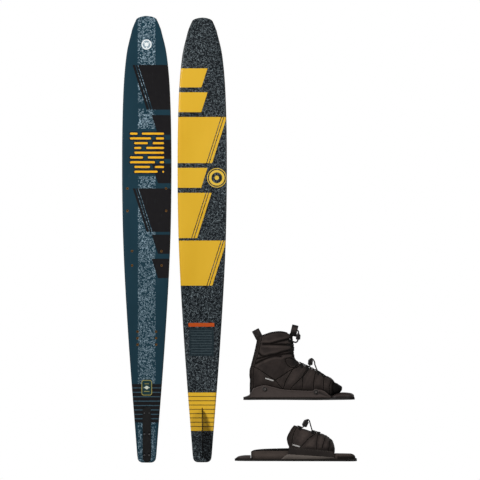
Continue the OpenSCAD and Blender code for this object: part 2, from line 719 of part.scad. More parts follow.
module toe_hood_liner() color([0.07, 0.065, 0.06]) difference() {
    intersection() {
        hood_solid(4);
        translate([186, -60, 50]) cube([160, 120, 100]);
    }
    hood_hollow(8);
}

module hood_flange(s)
    side_slab(s > 0 ? flange_y : -flange_y - flange_t, s > 0 ? flange_y + flange_t : -flange_y)
        polygon([[170, plate_t], [194, 26], [202, 56], [207, 56], [214, 50], [260, 46], [330, 40],
            [366, 34], [366, 14], [377, plate_t]]);

module toe_hood_outer_flange() color([0.11, 0.10, 0.09]) hood_flange(-1);
module toe_hood_inner_flange() color([0.11, 0.10, 0.09]) hood_flange(1);

hood_laces = [[240, 129], [288, 113.5], [312, 106]];
module toe_guide_pair(p, w) for (s = [-1, 1]) difference() {
    translate([p[0] - guide_size[0] / 2, s > 0 ? w - 4 : -w - 1, p[1] - guide_size[2] / 2])
        cube(guide_size);
    translate([p[0], 0, p[1]]) along_y(lace_r + 0.1, -w - fit_gap, w + fit_gap);
    hood_solid(-0.2);
}
module toe_lace() color([0.12, 0.11, 0.10]) for (p = hood_laces) lace_bar(p + [0, 3.5], 19);
module toe_lace_guides() color([0.05, 0.05, 0.05])
    for (p = hood_laces) toe_guide_pair(p + [0, 3.5], 19);

module toe_lace_lock() color([0.17, 0.15, 0.145]) lace_lock(262, 138, 26);

module toe_tag() color([0.78, 0.76, 0.75])
    side_box(227, 57, 28, 5, -16, -hood_half - 1.2, -hood_half);

module toe() translate([toe_x, 0, toe_z]) children();

// The raised lip at the tail of the toe plate
module toe_tail_lip() color([0.13, 0.12, 0.11]) intersection() {
    side_slab(-60, 60) polygon(concat([[4, plate_t]], smooth_path([
        [6, 9.5], [14, 14.5], [40, 18], [59, 18]], 3), [[59, plate_t]]));
    plan_slab(0, 60) polygon(smooth_loop([
        [3, -12], [15, -30], [59, -38], [64, 0], [59, 38], [15, 30], [3, 12]], 3));
    translate([0, -60, 0]) cube([59.5, 120, 60]);
}

// ---------- nodes ----------

left() ski_core();  // left_ski_core
left() ski_base();  // left_ski_base
left() ski_topsheet();  // left_ski_topsheet
left() ski_inserts();  // left_ski_inserts
left() fin_block();  // left_fin_block
left() fin_block_screws();  // left_fin_block_screws
left() fin_set_screws();  // left_fin_set_screws
left() fin();  // left_fin
right() ski_core();  // right_ski_core
right() ski_base();  // right_ski_base
right() ski_topsheet();  // right_ski_topsheet
right() ski_inserts();  // right_ski_inserts
right() fin_block();  // right_fin_block
right() fin_block_screws();  // right_fin_block_screws
right() fin_set_screws();  // right_fin_set_screws
right() fin();  // right_fin
boot() boot_plate();
boot() boot_footbed();
boot() boot_toe_riser();
boot() boot_heel_bridge();
boot() boot_outer_rail();
boot() boot_inner_rail();
boot() boot_rail_bolts();
boot() boot_rail_screws();
boot() boot_shell();
boot() boot_gusset();
boot() boot_toe_liner();
boot() boot_cuff();
boot() boot_cuff_liner();
boot() boot_tongue();
boot() boot_tongue_flap();
boot() boot_heel_loop();
boot() boot_tongue_loop();
boot() boot_lower_lace();
boot() boot_lower_lace_lock();
boot() boot_upper_lace();
boot() boot_upper_lace_lock();
boot() boot_lower_lace_guides();
boot() boot_upper_lace_guides();
boot() boot_tag();
toe() toe_plate();
toe() toe_tail_lip();
toe() toe_plate_footbed();
toe() toe_plate_heel_pad();
toe() toe_hood();
toe() toe_hood_liner();
toe() toe_hood_outer_flange();
toe() toe_hood_inner_flange();
toe() toe_lace();
toe() toe_lace_lock();
toe() toe_lace_guides();
toe() toe_tag();
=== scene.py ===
import bpy, bmesh, math
import numpy as np
from mathutils import Matrix, Vector, noise
from mathutils.bvhtree import BVHTree


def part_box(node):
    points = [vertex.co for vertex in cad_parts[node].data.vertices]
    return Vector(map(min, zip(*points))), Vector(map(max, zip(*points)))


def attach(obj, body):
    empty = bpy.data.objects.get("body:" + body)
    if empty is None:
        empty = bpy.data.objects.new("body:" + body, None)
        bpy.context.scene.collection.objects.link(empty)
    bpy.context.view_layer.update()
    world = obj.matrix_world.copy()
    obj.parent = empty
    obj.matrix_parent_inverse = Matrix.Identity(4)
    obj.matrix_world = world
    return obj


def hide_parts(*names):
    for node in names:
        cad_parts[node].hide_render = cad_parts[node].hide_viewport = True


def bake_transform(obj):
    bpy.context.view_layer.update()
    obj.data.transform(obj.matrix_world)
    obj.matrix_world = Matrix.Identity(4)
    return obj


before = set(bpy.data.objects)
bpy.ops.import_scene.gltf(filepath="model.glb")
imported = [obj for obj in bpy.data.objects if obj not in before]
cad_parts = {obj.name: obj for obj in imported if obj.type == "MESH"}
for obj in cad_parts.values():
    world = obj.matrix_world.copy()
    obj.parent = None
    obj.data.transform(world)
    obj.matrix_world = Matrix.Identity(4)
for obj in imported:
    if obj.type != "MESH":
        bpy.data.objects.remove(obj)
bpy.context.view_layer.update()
MM = 0.001
scene = bpy.context.scene


# ------------------------------------------------------------------ shader helpers

def lin(r, g, b):
    """A colour given as 0-255 screen values, in the linear values that shaders use."""
    f = lambda c: (c / 255 / 12.92) if c <= 10.3 else ((c / 255 + 0.055) / 1.055) ** 2.4
    return (f(r), f(g), f(b), 1.0)


class Mat:
    """A node material with short calls for the maths that draws it."""

    def __init__(s, name):
        s.m = bpy.data.materials.new(name)
        s.m.use_nodes = True
        s.t = s.m.node_tree
        s.t.nodes.clear()
        s.p = s.node("BsdfPrincipled")
        s.t.links.new(s.p.outputs[0], s.node("OutputMaterial").inputs[0])
        s.obj = s.node("TexCoord").outputs["Object"]

    def node(s, kind, inputs=(), **options):
        """A new node of the kind, with the options set and its inputs, by name or number, filled."""
        n = s.t.nodes.new("ShaderNode" + kind)
        for key, value in options.items():
            setattr(n, key, value)
        for key, value in dict(inputs).items():
            s.put(n.inputs[key], value)
        return n

    def put(s, sock, v):
        if isinstance(v, bpy.types.NodeSocket):
            s.t.links.new(v, sock)
        elif hasattr(sock, "default_value"):
            if isinstance(v, (tuple, list)) and len(v) == 4 and len(sock.default_value) == 3:
                v = v[:3]
            sock.default_value = v

    def math(s, op, a, b=0.0, c=0.0):
        return s.node("Math", enumerate((a, b, c)), operation=op).outputs[0]

    def vmath(s, op, a, b=(0, 0, 0), scale=1.0):
        n = s.node("VectorMath", enumerate((a, b)), operation=op)
        if op == "SCALE":
            s.put(n.inputs["Scale"], scale)
        return n.outputs["Value"] if op in ("LENGTH", "DISTANCE") else n.outputs[0]

    def add(s, a, b): return s.math("ADD", a, b)
    def sub(s, a, b): return s.math("SUBTRACT", a, b)
    def mul(s, a, b): return s.math("MULTIPLY", a, b)
    def top(s, a, b): return s.math("MAXIMUM", a, b)

    def wave(s, v, half=0.5):
        """A triangle wave of v, from 0 up to half and back."""
        return s.math("PINGPONG", v, half)

    def xyz(s, v):
        return s.node("SeparateXYZ", {0: v}).outputs[:3]

    def vec(s, x, y, z):
        return s.node("CombineXYZ", enumerate((x, y, z))).outputs[0]

    def step(s, v, a, b):
        """0 where v is a, 1 where v is b, smooth between."""
        return s.node("MapRange", enumerate((v, a, b, 0.0, 1.0)), interpolation_type="SMOOTHSTEP").outputs[0]

    def span(s, v, a, b, c, d):
        """v from the range a-b carried to c-d."""
        return s.node("MapRange", enumerate((v, a, b, c, d))).outputs[0]

    def noise(s, v, scale, detail=2.0, rough=0.5, distort=0.0):
        return s.node("TexNoise", {"Vector": v, "Scale": scale, "Detail": detail, "Roughness": rough,
                                   "Distortion": distort}).outputs[0]

    def voronoi(s, v):
        return s.node("TexVoronoi", {"Vector": v, "Scale": 1.0}).outputs["Distance"]

    def mix(s, f, a, b):
        return s.node("Mix", {0: f, 6: a, 7: b}, data_type="RGBA").outputs[2]

    def read(s, name):
        """A value stored on the mesh's points."""
        return s.node("Attribute", attribute_name=name).outputs["Fac"]

    def bump(s, height, strength=0.5, dist=0.001, normal=None):
        n = s.node("Bump", {"Height": height, "Strength": strength, "Distance": dist})
        if normal is not None:
            s.put(n.inputs["Normal"], normal)
        return n.outputs[0]

    def set(s, **k):
        for name, v in k.items():
            s.put(s.p.inputs[name.replace("_", " ")], v)
        return s.m

    # flat shapes in a plane whose two coordinates, in millimetres, are in p's x and y
    def rect(s, p, x0, x1, z0, z1, r=0.0):
        """1 inside a rectangle with corner radius r."""
        q = s.vmath("ABSOLUTE", s.vmath("SUBTRACT", p, ((x0 + x1) / 2, (z0 + z1) / 2, 0)))
        q = s.vmath("SUBTRACT", q, ((x1 - x0) / 2 - r, (z1 - z0) / 2 - r, 0))
        q = s.vmath("MAXIMUM", q, (0, 0, 0))
        return s.math("LESS_THAN", s.vmath("LENGTH", q), max(r, 0.05))

    def disc(s, p, x, z, r):
        return s.math("LESS_THAN", s.vmath("DISTANCE", p, (x, z, 0)), r)

    def union(s, items):
        out = items[0]
        for i in items[1:]:
            out = s.top(out, i)
        return out

    def outside(s, a, b):
        """a where b isn't."""
        return s.mul(a, s.sub(1.0, b))


def finish_piece(o, body, slot, *nodes):
    """Ties a finished piece to its body, and takes the place of the CAD nodes. The slot is not used."""
    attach(o, body)
    if nodes:
        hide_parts(*nodes)
    return o


def add_object(name, data):
    o = bpy.data.objects.new(name, data)
    scene.collection.objects.link(o)
    return o


def mesh_object(name, verts, faces, mat=None, smooth=True):
    me = bpy.data.meshes.new(name)
    me.from_pydata([tuple(v) for v in verts], [], [tuple(f) for f in faces])
    me.update()
    if mat:
        me.materials.append(mat)
    if smooth:
        smooth_all(me)
    return add_object(name, me)


def smooth_all(me, on=True):
    me.polygons.foreach_set("use_smooth", [on] * len(me.polygons))


def ring_faces(count, n, caps=True, closed=False):
    """The faces between rings of n points each. Unless the rings close on themselves, both ends can be capped."""
    faces = []
    for i in range(count if closed else count - 1):
        a, b = i * n, (i + 1) % count * n
        faces += [(a + j, a + (j + 1) % n, b + (j + 1) % n, b + j) for j in range(n)]
    if caps and not closed:
        faces += [tuple(range(n))[::-1], tuple(range((count - 1) * n, count * n))]
    return faces


def reshape(o, *steps):
    """Runs each step on the object's mesh as a bmesh, then turns the faces outward."""
    bm = bmesh.new()
    bm.from_mesh(o.data)
    for step in steps:
        step(bm)
    bmesh.ops.recalc_face_normals(bm, faces=bm.faces)
    bm.to_mesh(o.data)
    bm.free()
    return o


def tidy(o, dist=1e-5):
    """Merges doubles, drops flat faces, and turns the faces outward."""
    return reshape(o, lambda bm: bmesh.ops.remove_doubles(bm, verts=bm.verts, dist=dist),
                   lambda bm: bmesh.ops.dissolve_degenerate(bm, edges=bm.edges, dist=dist / 2))


def apply_modifiers(o):
    dg = bpy.context.evaluated_depsgraph_get()
    me = bpy.data.meshes.new_from_object(o.evaluated_get(dg))
    o.modifiers.clear()
    old = o.data
    o.data = me
    bpy.data.meshes.remove(old)
    return o


def cut(o, tools, op="DIFFERENCE"):
    """Takes each tool away from o, or joins it on, and removes the tools."""
    for t in tools:
        b = o.modifiers.new("cut", "BOOLEAN")
        b.operation, b.object, b.solver = op, t, "EXACT"
        apply_modifiers(o)
        bpy.data.objects.remove(t)


def set_smooth(o, angle=40):
    """Smooth faces with sharp edges where they meet at more than the angle."""
    bm = bmesh.new()
    bm.from_mesh(o.data)
    for f in bm.faces:
        f.smooth = True
    for e in bm.edges:
        e.smooth = not (len(e.link_faces) == 2 and e.calc_face_angle(0) > math.radians(angle))
    bm.to_mesh(o.data)
    bm.free()


def machined(name, dark, light, metal, rough, grain=900.0):
    """Metal with a fine turned grain and worn, brighter patches."""
    m = Mat(name)
    x, y, z = m.xyz(m.obj)
    n = m.noise(m.vec(m.mul(x, grain), m.mul(y, grain), m.mul(z, grain * 0.08)), 1.0, 3.0, 0.6)
    w = m.noise(m.obj, 120.0, 4.0, 0.65)
    col = m.mix(m.step(w, 0.5, 0.85), dark, light)
    return m.set(Base_Color=col, Metallic=metal, Roughness=m.span(n, 0.2, 0.8, rough - 0.08, rough + 0.12),
                 Normal=m.bump(n, 0.15, 0.0002))


def paint(node, mat):
    """Gives a CAD node that stays in sight its material."""
    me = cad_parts[node].data
    me.materials.clear()
    me.materials.append(mat)
    smooth_all(me, False)


BRASS = machined("insert_brass", lin(150, 112, 66), lin(186, 150, 96), 0.9, 0.38)
STEEL = machined("screw_steel", lin(120, 120, 122), lin(180, 180, 182), 1.0, 0.34)
BLACK_ALU = machined("anodised_black", lin(12, 12, 13), lin(34, 34, 36), 0.3, 0.42)
FIN_ALU = machined("fin_black", lin(13, 13, 14), lin(40, 40, 42), 0.4, 0.40, 500.0)


# ------------------------------------------------------------------ the skis

def centre_x(node):
    lo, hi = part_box(node)
    return (lo.x + hi.x) / 2 / MM

lo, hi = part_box("left_ski_core")
LENGTH = (hi.z - lo.z) / MM
HALF = (hi.x - lo.x) / MM / 2
LEFT_X, RIGHT_X = centre_x("left_ski_core"), centre_x("right_ski_core")
THICK, TIP_THICK, TAIL_THICK = 18.0, 7, 10
TIP_RISE, TAIL_RISE = 43.0, 2       # how far the ends curve up from the flat middle
RISE_TIP_Z, RISE_TAIL_Z = 1060, 400
THIN_TIP_Z, THIN_TAIL_Z = 860, 520
STATIONS = [(0.018, 0.390), (0.270, 0.734), (0.486, 0.948), (0.674, 1.000),
            (0.827, 0.946), (0.9165, 0.806), (0.970, 0.583)]


def top_y(z):
    """Where the top face is, in y."""
    tip = TIP_RISE * ((z - RISE_TIP_Z) / (LENGTH - RISE_TIP_Z)) ** 2 if z > RISE_TIP_Z else 0
    return -THICK - tip + (TAIL_RISE * ((RISE_TAIL_Z - z) / RISE_TAIL_Z) ** 2 if z < RISE_TAIL_Z else 0)


def thickness(z):
    z = min(max(z, 0), LENGTH)
    if z > THIN_TIP_Z:
        return THICK - (THICK - TIP_THICK) * ((z - THIN_TIP_Z) / (LENGTH - THIN_TIP_Z)) ** 1.4
    if z < THIN_TAIL_Z:
        return THICK - (THICK - TAIL_THICK) * ((THIN_TAIL_Z - z) / THIN_TAIL_Z) ** 1.4
    return THICK


def hermite(t, h, y0, y1, m0, m1):
    """The cubic between two values with their slopes, over a step of h."""
    return ((2 * t**3 - 3 * t**2 + 1) * y0 + (t**3 - 2 * t**2 + t) * h * m0
            + (3 * t**2 - 2 * t**3) * y1 + (t**3 - t**2) * h * m1)


def edge_path():
    """The right half of the ski's outline, from the tail's centre round to the tip's centre."""
    n = len(STATIONS)
    def slope(i):
        a, b = STATIONS[max(i - 1, 0)], STATIONS[min(i + 1, n - 1)]
        return (b[1] - a[1]) / (b[0] - a[0])
    path = [(0, 0), (8, 0.1)]
    r = 18
    for a in range(0, 90, 12):
        path.append((HALF * 0.372 - r * (1 - math.sin(math.radians(a))),
                     0.4 + r * (1 - math.cos(math.radians(a)))))
    for i in range(n - 1):
        a, b = STATIONS[i], STATIONS[i + 1]
        w = b[0] - a[0]
        k_n = max(4, int(w * LENGTH / 16))
        for k in range(k_n):
            t = k / k_n
            path.append((HALF * hermite(t, w, a[1], b[1], slope(i), slope(i + 1)), LENGTH * (a[0] + w * t)))
    path += [(HALF * 0.583, LENGTH * 0.970), (45.7, LENGTH - 30), (38.6, LENGTH - 14.5),
             (36.8, LENGTH - 11.2), (33.4, LENGTH - 8.6)]
    path += [(x, LENGTH - 9.4 * (x / 37) ** 2) for x in (28, 20, 12, 5)] + [(0, LENGTH)]
    return np.array(path, float)

PATH = edge_path()


def normals(path):
    d = np.zeros_like(path)
    d[1:-1] = path[2:] - path[:-2]
    d[0], d[-1] = (1, 0), (-1, 0)
    n = np.stack([d[:, 1], -d[:, 0]], 1)
    return n / np.linalg.norm(n, axis=1)[:, None]

NORM = normals(PATH)
COLUMNS = 24                        # points across the middle of each face
HOLLOW, FLAT_EDGE = 2.6, 0.86       # the base's hollow: its depth, and the share of the half width it spans
WIDE_HALF = 91.5


def tunnel(z, share):
    """How far the base is hollowed, across the ski and along it."""
    along = min(max((z - 90) / 260, 0), 1) * min(max((1500 - z) / 300, 0), 1)
    along = along * along * (3 - 2 * along)
    s = abs(share)
    return 0.0 if s > FLAT_EDGE else HOLLOW * along * (0.5 + 0.5 * math.cos(math.pi * s / FLAT_EDGE)) ** 0.8


def ski_skin(name, outer, inner, face, hollow=False):
    """A closed skin round the ski. outer and inner are the edge's profile as (draw-in, depth) pairs for a thickness;
    depth is measured from the top face, or from the base where face is 'base'."""
    rows = []
    for (x, z), (nx, nz) in zip(PATH, NORM):
        t = thickness(z)
        loop = []
        for prof, back in ((outer(t), False), (inner(t), True)):
            draw_in, depth = prof[-1]
            side = [(x - d * nx, z - d * nz, h) for d, h in prof]
            ex, ez = max(x - draw_in * nx, 0.0), z - draw_in * nz
            mid = []
            for k in range(1, COLUMNS):
                f = -1 + 2 * k / COLUMNS
                sunk = tunnel(ez, f * ex / HALF * WIDE_HALF / max(x, 1)) if hollow else 0
                mid.append((f * ex, ez, depth + sunk))
            left = [(-max(px, 0), pz, h) for px, pz, h in side]
            right = [(max(px, 0), pz, h) for px, pz, h in reversed(side)]
            line = left + mid + right
            loop += line[::-1] if back else line
        rows.append(loop)
    verts = []
    for px, pz, h in (q for loop in rows for q in loop):
        pz = min(max(pz, 0), LENGTH)
        y = top_y(pz) + h if face == "top" else top_y(pz) + thickness(pz) - h
        verts.append((px * MM, y * MM, pz * MM))
    return tidy(mesh_object(name, verts, ring_faces(len(rows), len(rows[0]), caps=False)), 2e-5)


def arc_profile(r, s, t, steps=5):
    """Side wall to depth s, then a quarter round of radius r into the face, for a skin of thickness t."""
    def quarter(radius):
        return [(r - radius * math.cos(math.radians(a)), r - radius * math.sin(math.radians(a)))
                for a in np.linspace(0, 90, steps + 1)]
    return [(0.0, s)] + quarter(r), [(t, s)] + quarter(max(r - t, 0.2))


def top_profile(t, which):
    return arc_profile(min(5.0, 0.36 * t), 0.44 * t, 0.8)[which]


def base_profile(t, which):
    b = min(4.2, 0.26 * t)
    c = b * 1.25
    if which == 0:
        return [(0.0, 0.34 * t), (0.0, b + 0.5), (0.25, b), (c, 0.35), (c + 0.9, 0.0), (c + 3.5, 0.0)]
    return [(1.6, 0.34 * t), (1.6, b + 0.9), (1.7, b + 0.8), (c, 1.9), (c + 0.9, 1.6), (c + 3.5, 1.6)]


def core_profile(t, which):
    if which == 0:
        return [(0.35, 0.46 * t), (0.35, 0.40 * t), (1.2, 0.30 * t), (min(5.0, 0.36 * t), 0.9)]
    return [(0.35, 0.60 * t), (0.35, 0.70 * t), (1.9, 0.76 * t),
            (min(4.2, 0.26 * t) + 3.5, t - 4.4 if t > 9 else t * 0.6)]


def prism(bm, outline, y0, y1):
    """A straight form along Y over an outline of (x, z) points."""
    lo_v = [bm.verts.new((x, y0, z)) for x, z in outline]
    hi_v = [bm.verts.new((x, y1, z)) for x, z in outline]
    bm.faces.new(lo_v)
    bm.faces.new(hi_v[::-1])
    n = len(outline)
    for k in range(n):
        bm.faces.new((lo_v[k], lo_v[(k + 1) % n], hi_v[(k + 1) % n], hi_v[k]))


def prisms(name, shapes):
    """One mesh of straight forms, each an outline with two y values, for cutting with."""
    bm = bmesh.new()
    for outline, y0, y1 in shapes:
        prism(bm, outline, y0, y1)
    bmesh.ops.recalc_face_normals(bm, faces=bm.faces)
    me = bpy.data.meshes.new(name)
    bm.to_mesh(me)
    bm.free()
    return add_object(name, me)


def tool_mesh(name, parts, sides=32):
    """Cylinders and capsules along Y, in millimetres: (x, z, radius, half length along z, y0, y1)."""
    shapes = []
    for x, z, r, ext, y0, y1 in parts:
        angles = [2 * math.pi * k / sides for k in range(sides)]
        pts = [(x + r * math.cos(a), z + r * math.sin(a) + (ext if math.sin(a) > 0 else -ext)) for a in angles]
        shapes.append(([(px * MM, pz * MM) for px, pz in pts], y0 * MM, y1 * MM))
    return prisms(name, shapes)


INSERT_ROWS = ((71.5, (1015, 932)), (54.5, (783, 730)), (34.3, (485, 461, 437)))    # half the spacing, heights
INSERTS = [(s * half, z) for half, rows in INSERT_ROWS for z in rows for s in (-1, 1)]
BLOCK = (0, 106.0, 15.4, 89.6)        # the fin block's pocket: x, z, radius, half its straight length
FIN_SLOT = (0, 109.5, 1.5, 92.0)


def ski_shapes():
    """The top skin, the base and the core of one ski, about its own middle."""
    def skin(name, profile, *rest, **options):
        return ski_skin(name, lambda t: profile(t, 0), lambda t: profile(t, 1), *rest, **options)
    def holes(radius, y1):
        return tool_mesh("holes", [(x, z, radius, 0, -30, y1) for x, z in INSERTS])
    top = skin("top", top_profile, "top")
    cut(top, [holes(4.6, -10), tool_mesh("pocket", [BLOCK + (-40, -10)])])
    base = skin("base", base_profile, "base", hollow=True)
    cut(base, [tool_mesh("slot", [FIN_SLOT + (-14, 20)])])
    core = skin("core", core_profile, "top")
    cut(core, [holes(5.0, -7.2), tool_mesh("pocket", [BLOCK + (-40, -12.5)]),
               tool_mesh("slot", [FIN_SLOT + (-20, 20)])])
    for o in (top, base, core):
        tidy(o, 1e-6)
        set_smooth(o, 35)
    return top, base, core


# ---- the printed faces. u is across the ski and v along it, in millimetres, as each face is seen.

def scribble(m, u, v, size, density, seed):
    """Short wandering strokes, like a maze, as a 0-1 mask."""
    def at(level):
        return m.vec(m.mul(u, 1 / size), m.mul(v, 1 / size), level)
    line = m.wave(m.mul(m.noise(at(seed), 1.0, 1.0, 0.4, 0.6), 6.0))
    gate = m.noise(at(seed + 7.3), 1.7, 0.0, 0.5, 0.0)
    return m.mul(m.step(line, density + 0.06, density - 0.06), m.step(gate, 0.36, 0.44))


def plane(m, cx, sign):
    """u, v and the point (u, v) of a printed face."""
    x, _, z = m.xyz(m.obj)
    u = m.mul(m.sub(m.mul(x, 1000.0), cx), float(sign))
    v = m.mul(z, 1000.0)
    return u, v, m.vec(u, v, 0.0)


def stretched(m, u, v, su, sv, w=0.0):
    """The printed face's plane, scaled along and across, at a depth w of the noise."""
    return m.vec(m.mul(u, su), m.mul(v, sv), w)


def rules(m, v, start, pitch, half):
    """Even lines across the ski."""
    return m.math("LESS_THAN", m.math("ABSOLUTE", m.sub(m.math("MODULO", m.sub(v, start), pitch), pitch / 2)), half)


LINE_INSET, LINE_PITCH = 11, 9      # the thin lines along a bar's leaning end
LEAN = 0.32


def leaning_bar(m, u, v, x0, x1, z0, z1, lean, lines):
    """A plain bar whose end leans, with thin lines left out along that end."""
    p = m.vec(m.sub(u, m.mul(m.sub(v, (z0 + z1) / 2), lean)), v, 0.0)
    bar = m.rect(p, x0, x1, z0, z1, 2)
    for k in range(lines):
        inward = LINE_INSET + LINE_PITCH * k
        e = x1 - inward if lean > 0 else x0 + inward
        bar = m.outside(bar, m.rect(p, e - 1.5, e + 1.5, z0, z1))
    return bar


def top_material(name, cx, sign):
    m = Mat(name)
    u, v, p = plane(m, cx, sign)
    across = m.math("ABSOLUTE", u)
    cloud = m.noise(stretched(m, u, v, 0.01, 0.004), 1.0, 3.0)
    col = m.mix(cloud, lin(20, 47, 58), lin(32, 63, 77))
    col = m.mix(m.step(v, 200, 1500), m.mix(0.12, col, lin(10, 30, 40)), col)
    # the wandering band down the middle
    band = m.math("LESS_THAN", across, 32.6)
    stroke = scribble(m, u, v, 11.5, 0.17, 3.0)
    ragged = m.math("LESS_THAN", m.add(across, m.mul(m.noise(p, 0.12, 1.0), 6.0)), 35.5)
    covered = m.union([m.rect(p, -40, 40, 1060, 1236), m.rect(p, -40, 40, 1309, 1330)])
    mark = m.outside(m.mul(m.mul(band, ragged), stroke), covered)
    faded = m.add(0.62, m.mul(m.step(v, 350, 1300), 0.30))
    col = m.mix(m.mul(mark, faded), col, m.mix(cloud, lin(130, 156, 172), lin(170, 192, 204)))
    # black blocks
    dark = m.union([leaning_bar(m, u, v, x0, 200, z0, z1, -LEAN, lines) for x0, z0, z1, lines in (
        (-26, 1306, 1471, 2), (30, 1213, 1286, 0), (30, 1124, 1195, 0), (30, 1034, 1107, 0),
        (-26, 854, 1015, 2), (30, 773, 844, 0), (30, 683, 755, 0))])
    black = m.mix(m.noise(p, 0.05, 3.0), lin(22, 21, 23), lin(30, 28, 30))
    col = m.mix(dark, col, black)
    # a plain set of rounded bars, each row given by where its bars start and end
    bars, rims = [], []
    rows = [((-62, -34), (-18, 64)), ((-62, 16), (34, 64)), ((-46, 4), (22, 64)), ((-46, -20), (-2, 64)),
            ((-46, 64),), ((-62, -14), (4, 64)), ((-62, 30), (48, 64)), ((-46, 12), (30, 64)), ((-46, 40), (58, 64))]
    first_row, row_pitch = 1217.5, 17.6
    for i, row in enumerate(rows):
        zc = first_row - row_pitch * i
        for a, b in row:
            bars.append(m.rect(p, a, b, zc - 3.9, zc + 3.9, 3.8))
            rims.append(m.rect(p, a - 4, b + 4, zc - 8.6, zc + 8.6, 8.5))
    col = m.mix(m.mul(m.union(rims), 0.75), col, lin(20, 28, 40))
    col = m.mix(m.union(bars), col, m.mix(cloud, lin(236, 170, 30), lin(246, 184, 40)))
    # a plain round mark near the tip
    mark_z = 1546
    ring = m.outside(m.disc(p, 0, mark_z, 18.5), m.disc(p, 0, mark_z, 14.5))
    spots = m.union([m.disc(p, 0, mark_z, 7.5), m.disc(p, -9, mark_z + 6, 2.4), m.disc(p, 9, mark_z + 6, 2.4),
                     m.disc(p, 0, 1534.8, 2.4)])
    col = m.mix(m.disc(p, 0, mark_z, 19), col, lin(150, 170, 180))
    col = m.mix(m.union([ring, spots]), col, lin(238, 242, 243))
    # a ruled dark band at the tail, with a plain badge
    tail = m.rect(p, -120, 120, 149, 291)
    col = m.mix(tail, col, black)
    fleck = m.step(m.noise(p, 0.25, 2.0), 0.30, 0.55)
    lines = m.mul(m.mul(rules(m, v, 154.7, 16.3, 1.6), tail),
                  m.mul(m.math("GREATER_THAN", v, 156), m.add(0.35, m.mul(fleck, 0.5))))
    col = m.mix(lines, col, lin(66, 96, 110))
    badge = m.rect(p, -19.5, 19.5, 249, 306, 9)
    frame_line = m.outside(badge, m.rect(p, -17, 17, 251.5, 303.5, 7))
    col = m.mix(badge, col, lin(28, 56, 60))
    marks = m.union([frame_line, m.rect(p, -10, 10, 263, 265), m.rect(p, -8, 8, 291, 293)])
    col = m.mix(m.mul(marks, 0.85), col, lin(170, 158, 84))
    col = m.mix(m.union([m.disc(p, 0, 278, 6.5), m.rect(p, -11, 11, 276.6, 279.4)]), col, lin(206, 212, 196))
    # light scuffs in long streaks
    scuff = m.step(m.noise(stretched(m, u, v, 0.25, 0.02, 1.0), 1.0, 5.0, 0.7), 0.60, 0.78)
    col = m.mix(m.mul(scuff, 0.10), col, lin(150, 160, 165))
    grain = m.noise(stretched(m, u, v, 1.0, 1.0), 0.9, 3.0, 0.6)
    height = m.add(m.mul(grain, 0.6), m.mul(m.wave(m.mul(m.add(u, v), 0.35)), 0.08))
    rough = m.add(m.span(grain, 0.3, 0.7, 0.30, 0.42), m.mul(scuff, 0.15))
    return m.set(Base_Color=col, Roughness=rough, Specular_IOR_Level=0.14, Coat_Weight=0.05, Coat_Roughness=0.15,
                 Normal=m.bump(height, 0.12, 0.0004))


def base_material(name, cx, sign):
    m = Mat(name)
    u, v, p = plane(m, cx, sign)
    cloud = m.noise(stretched(m, u, v, 0.01, 0.004, 5.0), 1.0, 3.0)
    ground = m.mix(cloud, lin(12, 16, 20), lin(24, 30, 35))
    stroke = scribble(m, u, v, 12.0, 0.135, 11.0)
    col = m.mix(m.mul(stroke, 0.9), ground, m.mix(cloud, lin(84, 96, 102), lin(126, 136, 140)))
    blocks = m.union([leaning_bar(m, u, v, -200, x1, z0, z1, LEAN, lines) for x1, z0, z1, lines in (
        (8, 1390, 1461, 0), (8, 1298, 1372, 0), (64, 1109, 1280, 2), (8, 1017.5, 1091.6, 0),
        (8, 831, 999, 2), (64, 655, 822, 2))])
    col = m.mix(blocks, col, m.mix(cloud, lin(219, 170, 40), lin(232, 186, 54)))
    # plain rings
    at = (54, 1054.6)
    rings = m.union([m.outside(m.disc(p, *at, 36), m.disc(p, *at, 33.4)),
                     m.outside(m.disc(p, *at, 29), m.disc(p, *at, 20)), m.disc(p, *at, 8)])
    col = m.mix(rings, col, lin(228, 190, 70))
    # a plain strip over a ruled panel
    col = m.mix(m.rect(p, -51, 45, 503, 517, 1), col, lin(186, 78, 28))
    panel = m.rect(p, -48, 43, 394, 500)
    col = m.mix(m.mul(panel, 0.85), col, lin(28, 42, 48))
    ruled = m.mul(m.math("LESS_THAN", m.wave(m.mul(v, 1 / 9.6)), 0.13), m.rect(p, -41, 36, 402, 490))
    worn = m.add(0.2, m.mul(m.noise(stretched(m, u, v, 0.05, 0.3), 1.0), 0.35))
    col = m.mix(m.mul(ruled, worn), col, lin(92, 108, 114))
    # the ruled tail
    lines = m.mul(rules(m, v, 125.2, 15.9, 1.5), m.rect(p, -120, 120, 126, 251))
    col = m.mix(m.rect(p, -120, 120, 117, 259), col, m.mix(cloud, lin(228, 178, 44), lin(240, 192, 54)))
    col = m.mix(m.mul(lines, 0.85), col, lin(30, 32, 30))
    scratch = m.step(m.noise(stretched(m, u, v, 0.8, 0.012, 2.0), 1.0, 5.0, 0.7), 0.64, 0.80)
    col = m.mix(m.mul(scratch, 0.06), col, lin(170, 175, 178))
    peel = m.noise(m.vec(u, m.mul(v, 0.6), 0.0), 0.10, 2.0, 0.5)
    rough = m.add(m.span(cloud, 0.3, 0.7, 0.10, 0.16), m.mul(scratch, 0.2))
    return m.set(Base_Color=col, Roughness=0.4, Specular_IOR_Level=0.1, Coat_Weight=0.5, Coat_Roughness=rough,
                 Coat_Normal=m.bump(peel, 0.10, 0.0012), Normal=m.bump(peel, 0.05, 0.0006))


CARBON_PITCH = 330.0


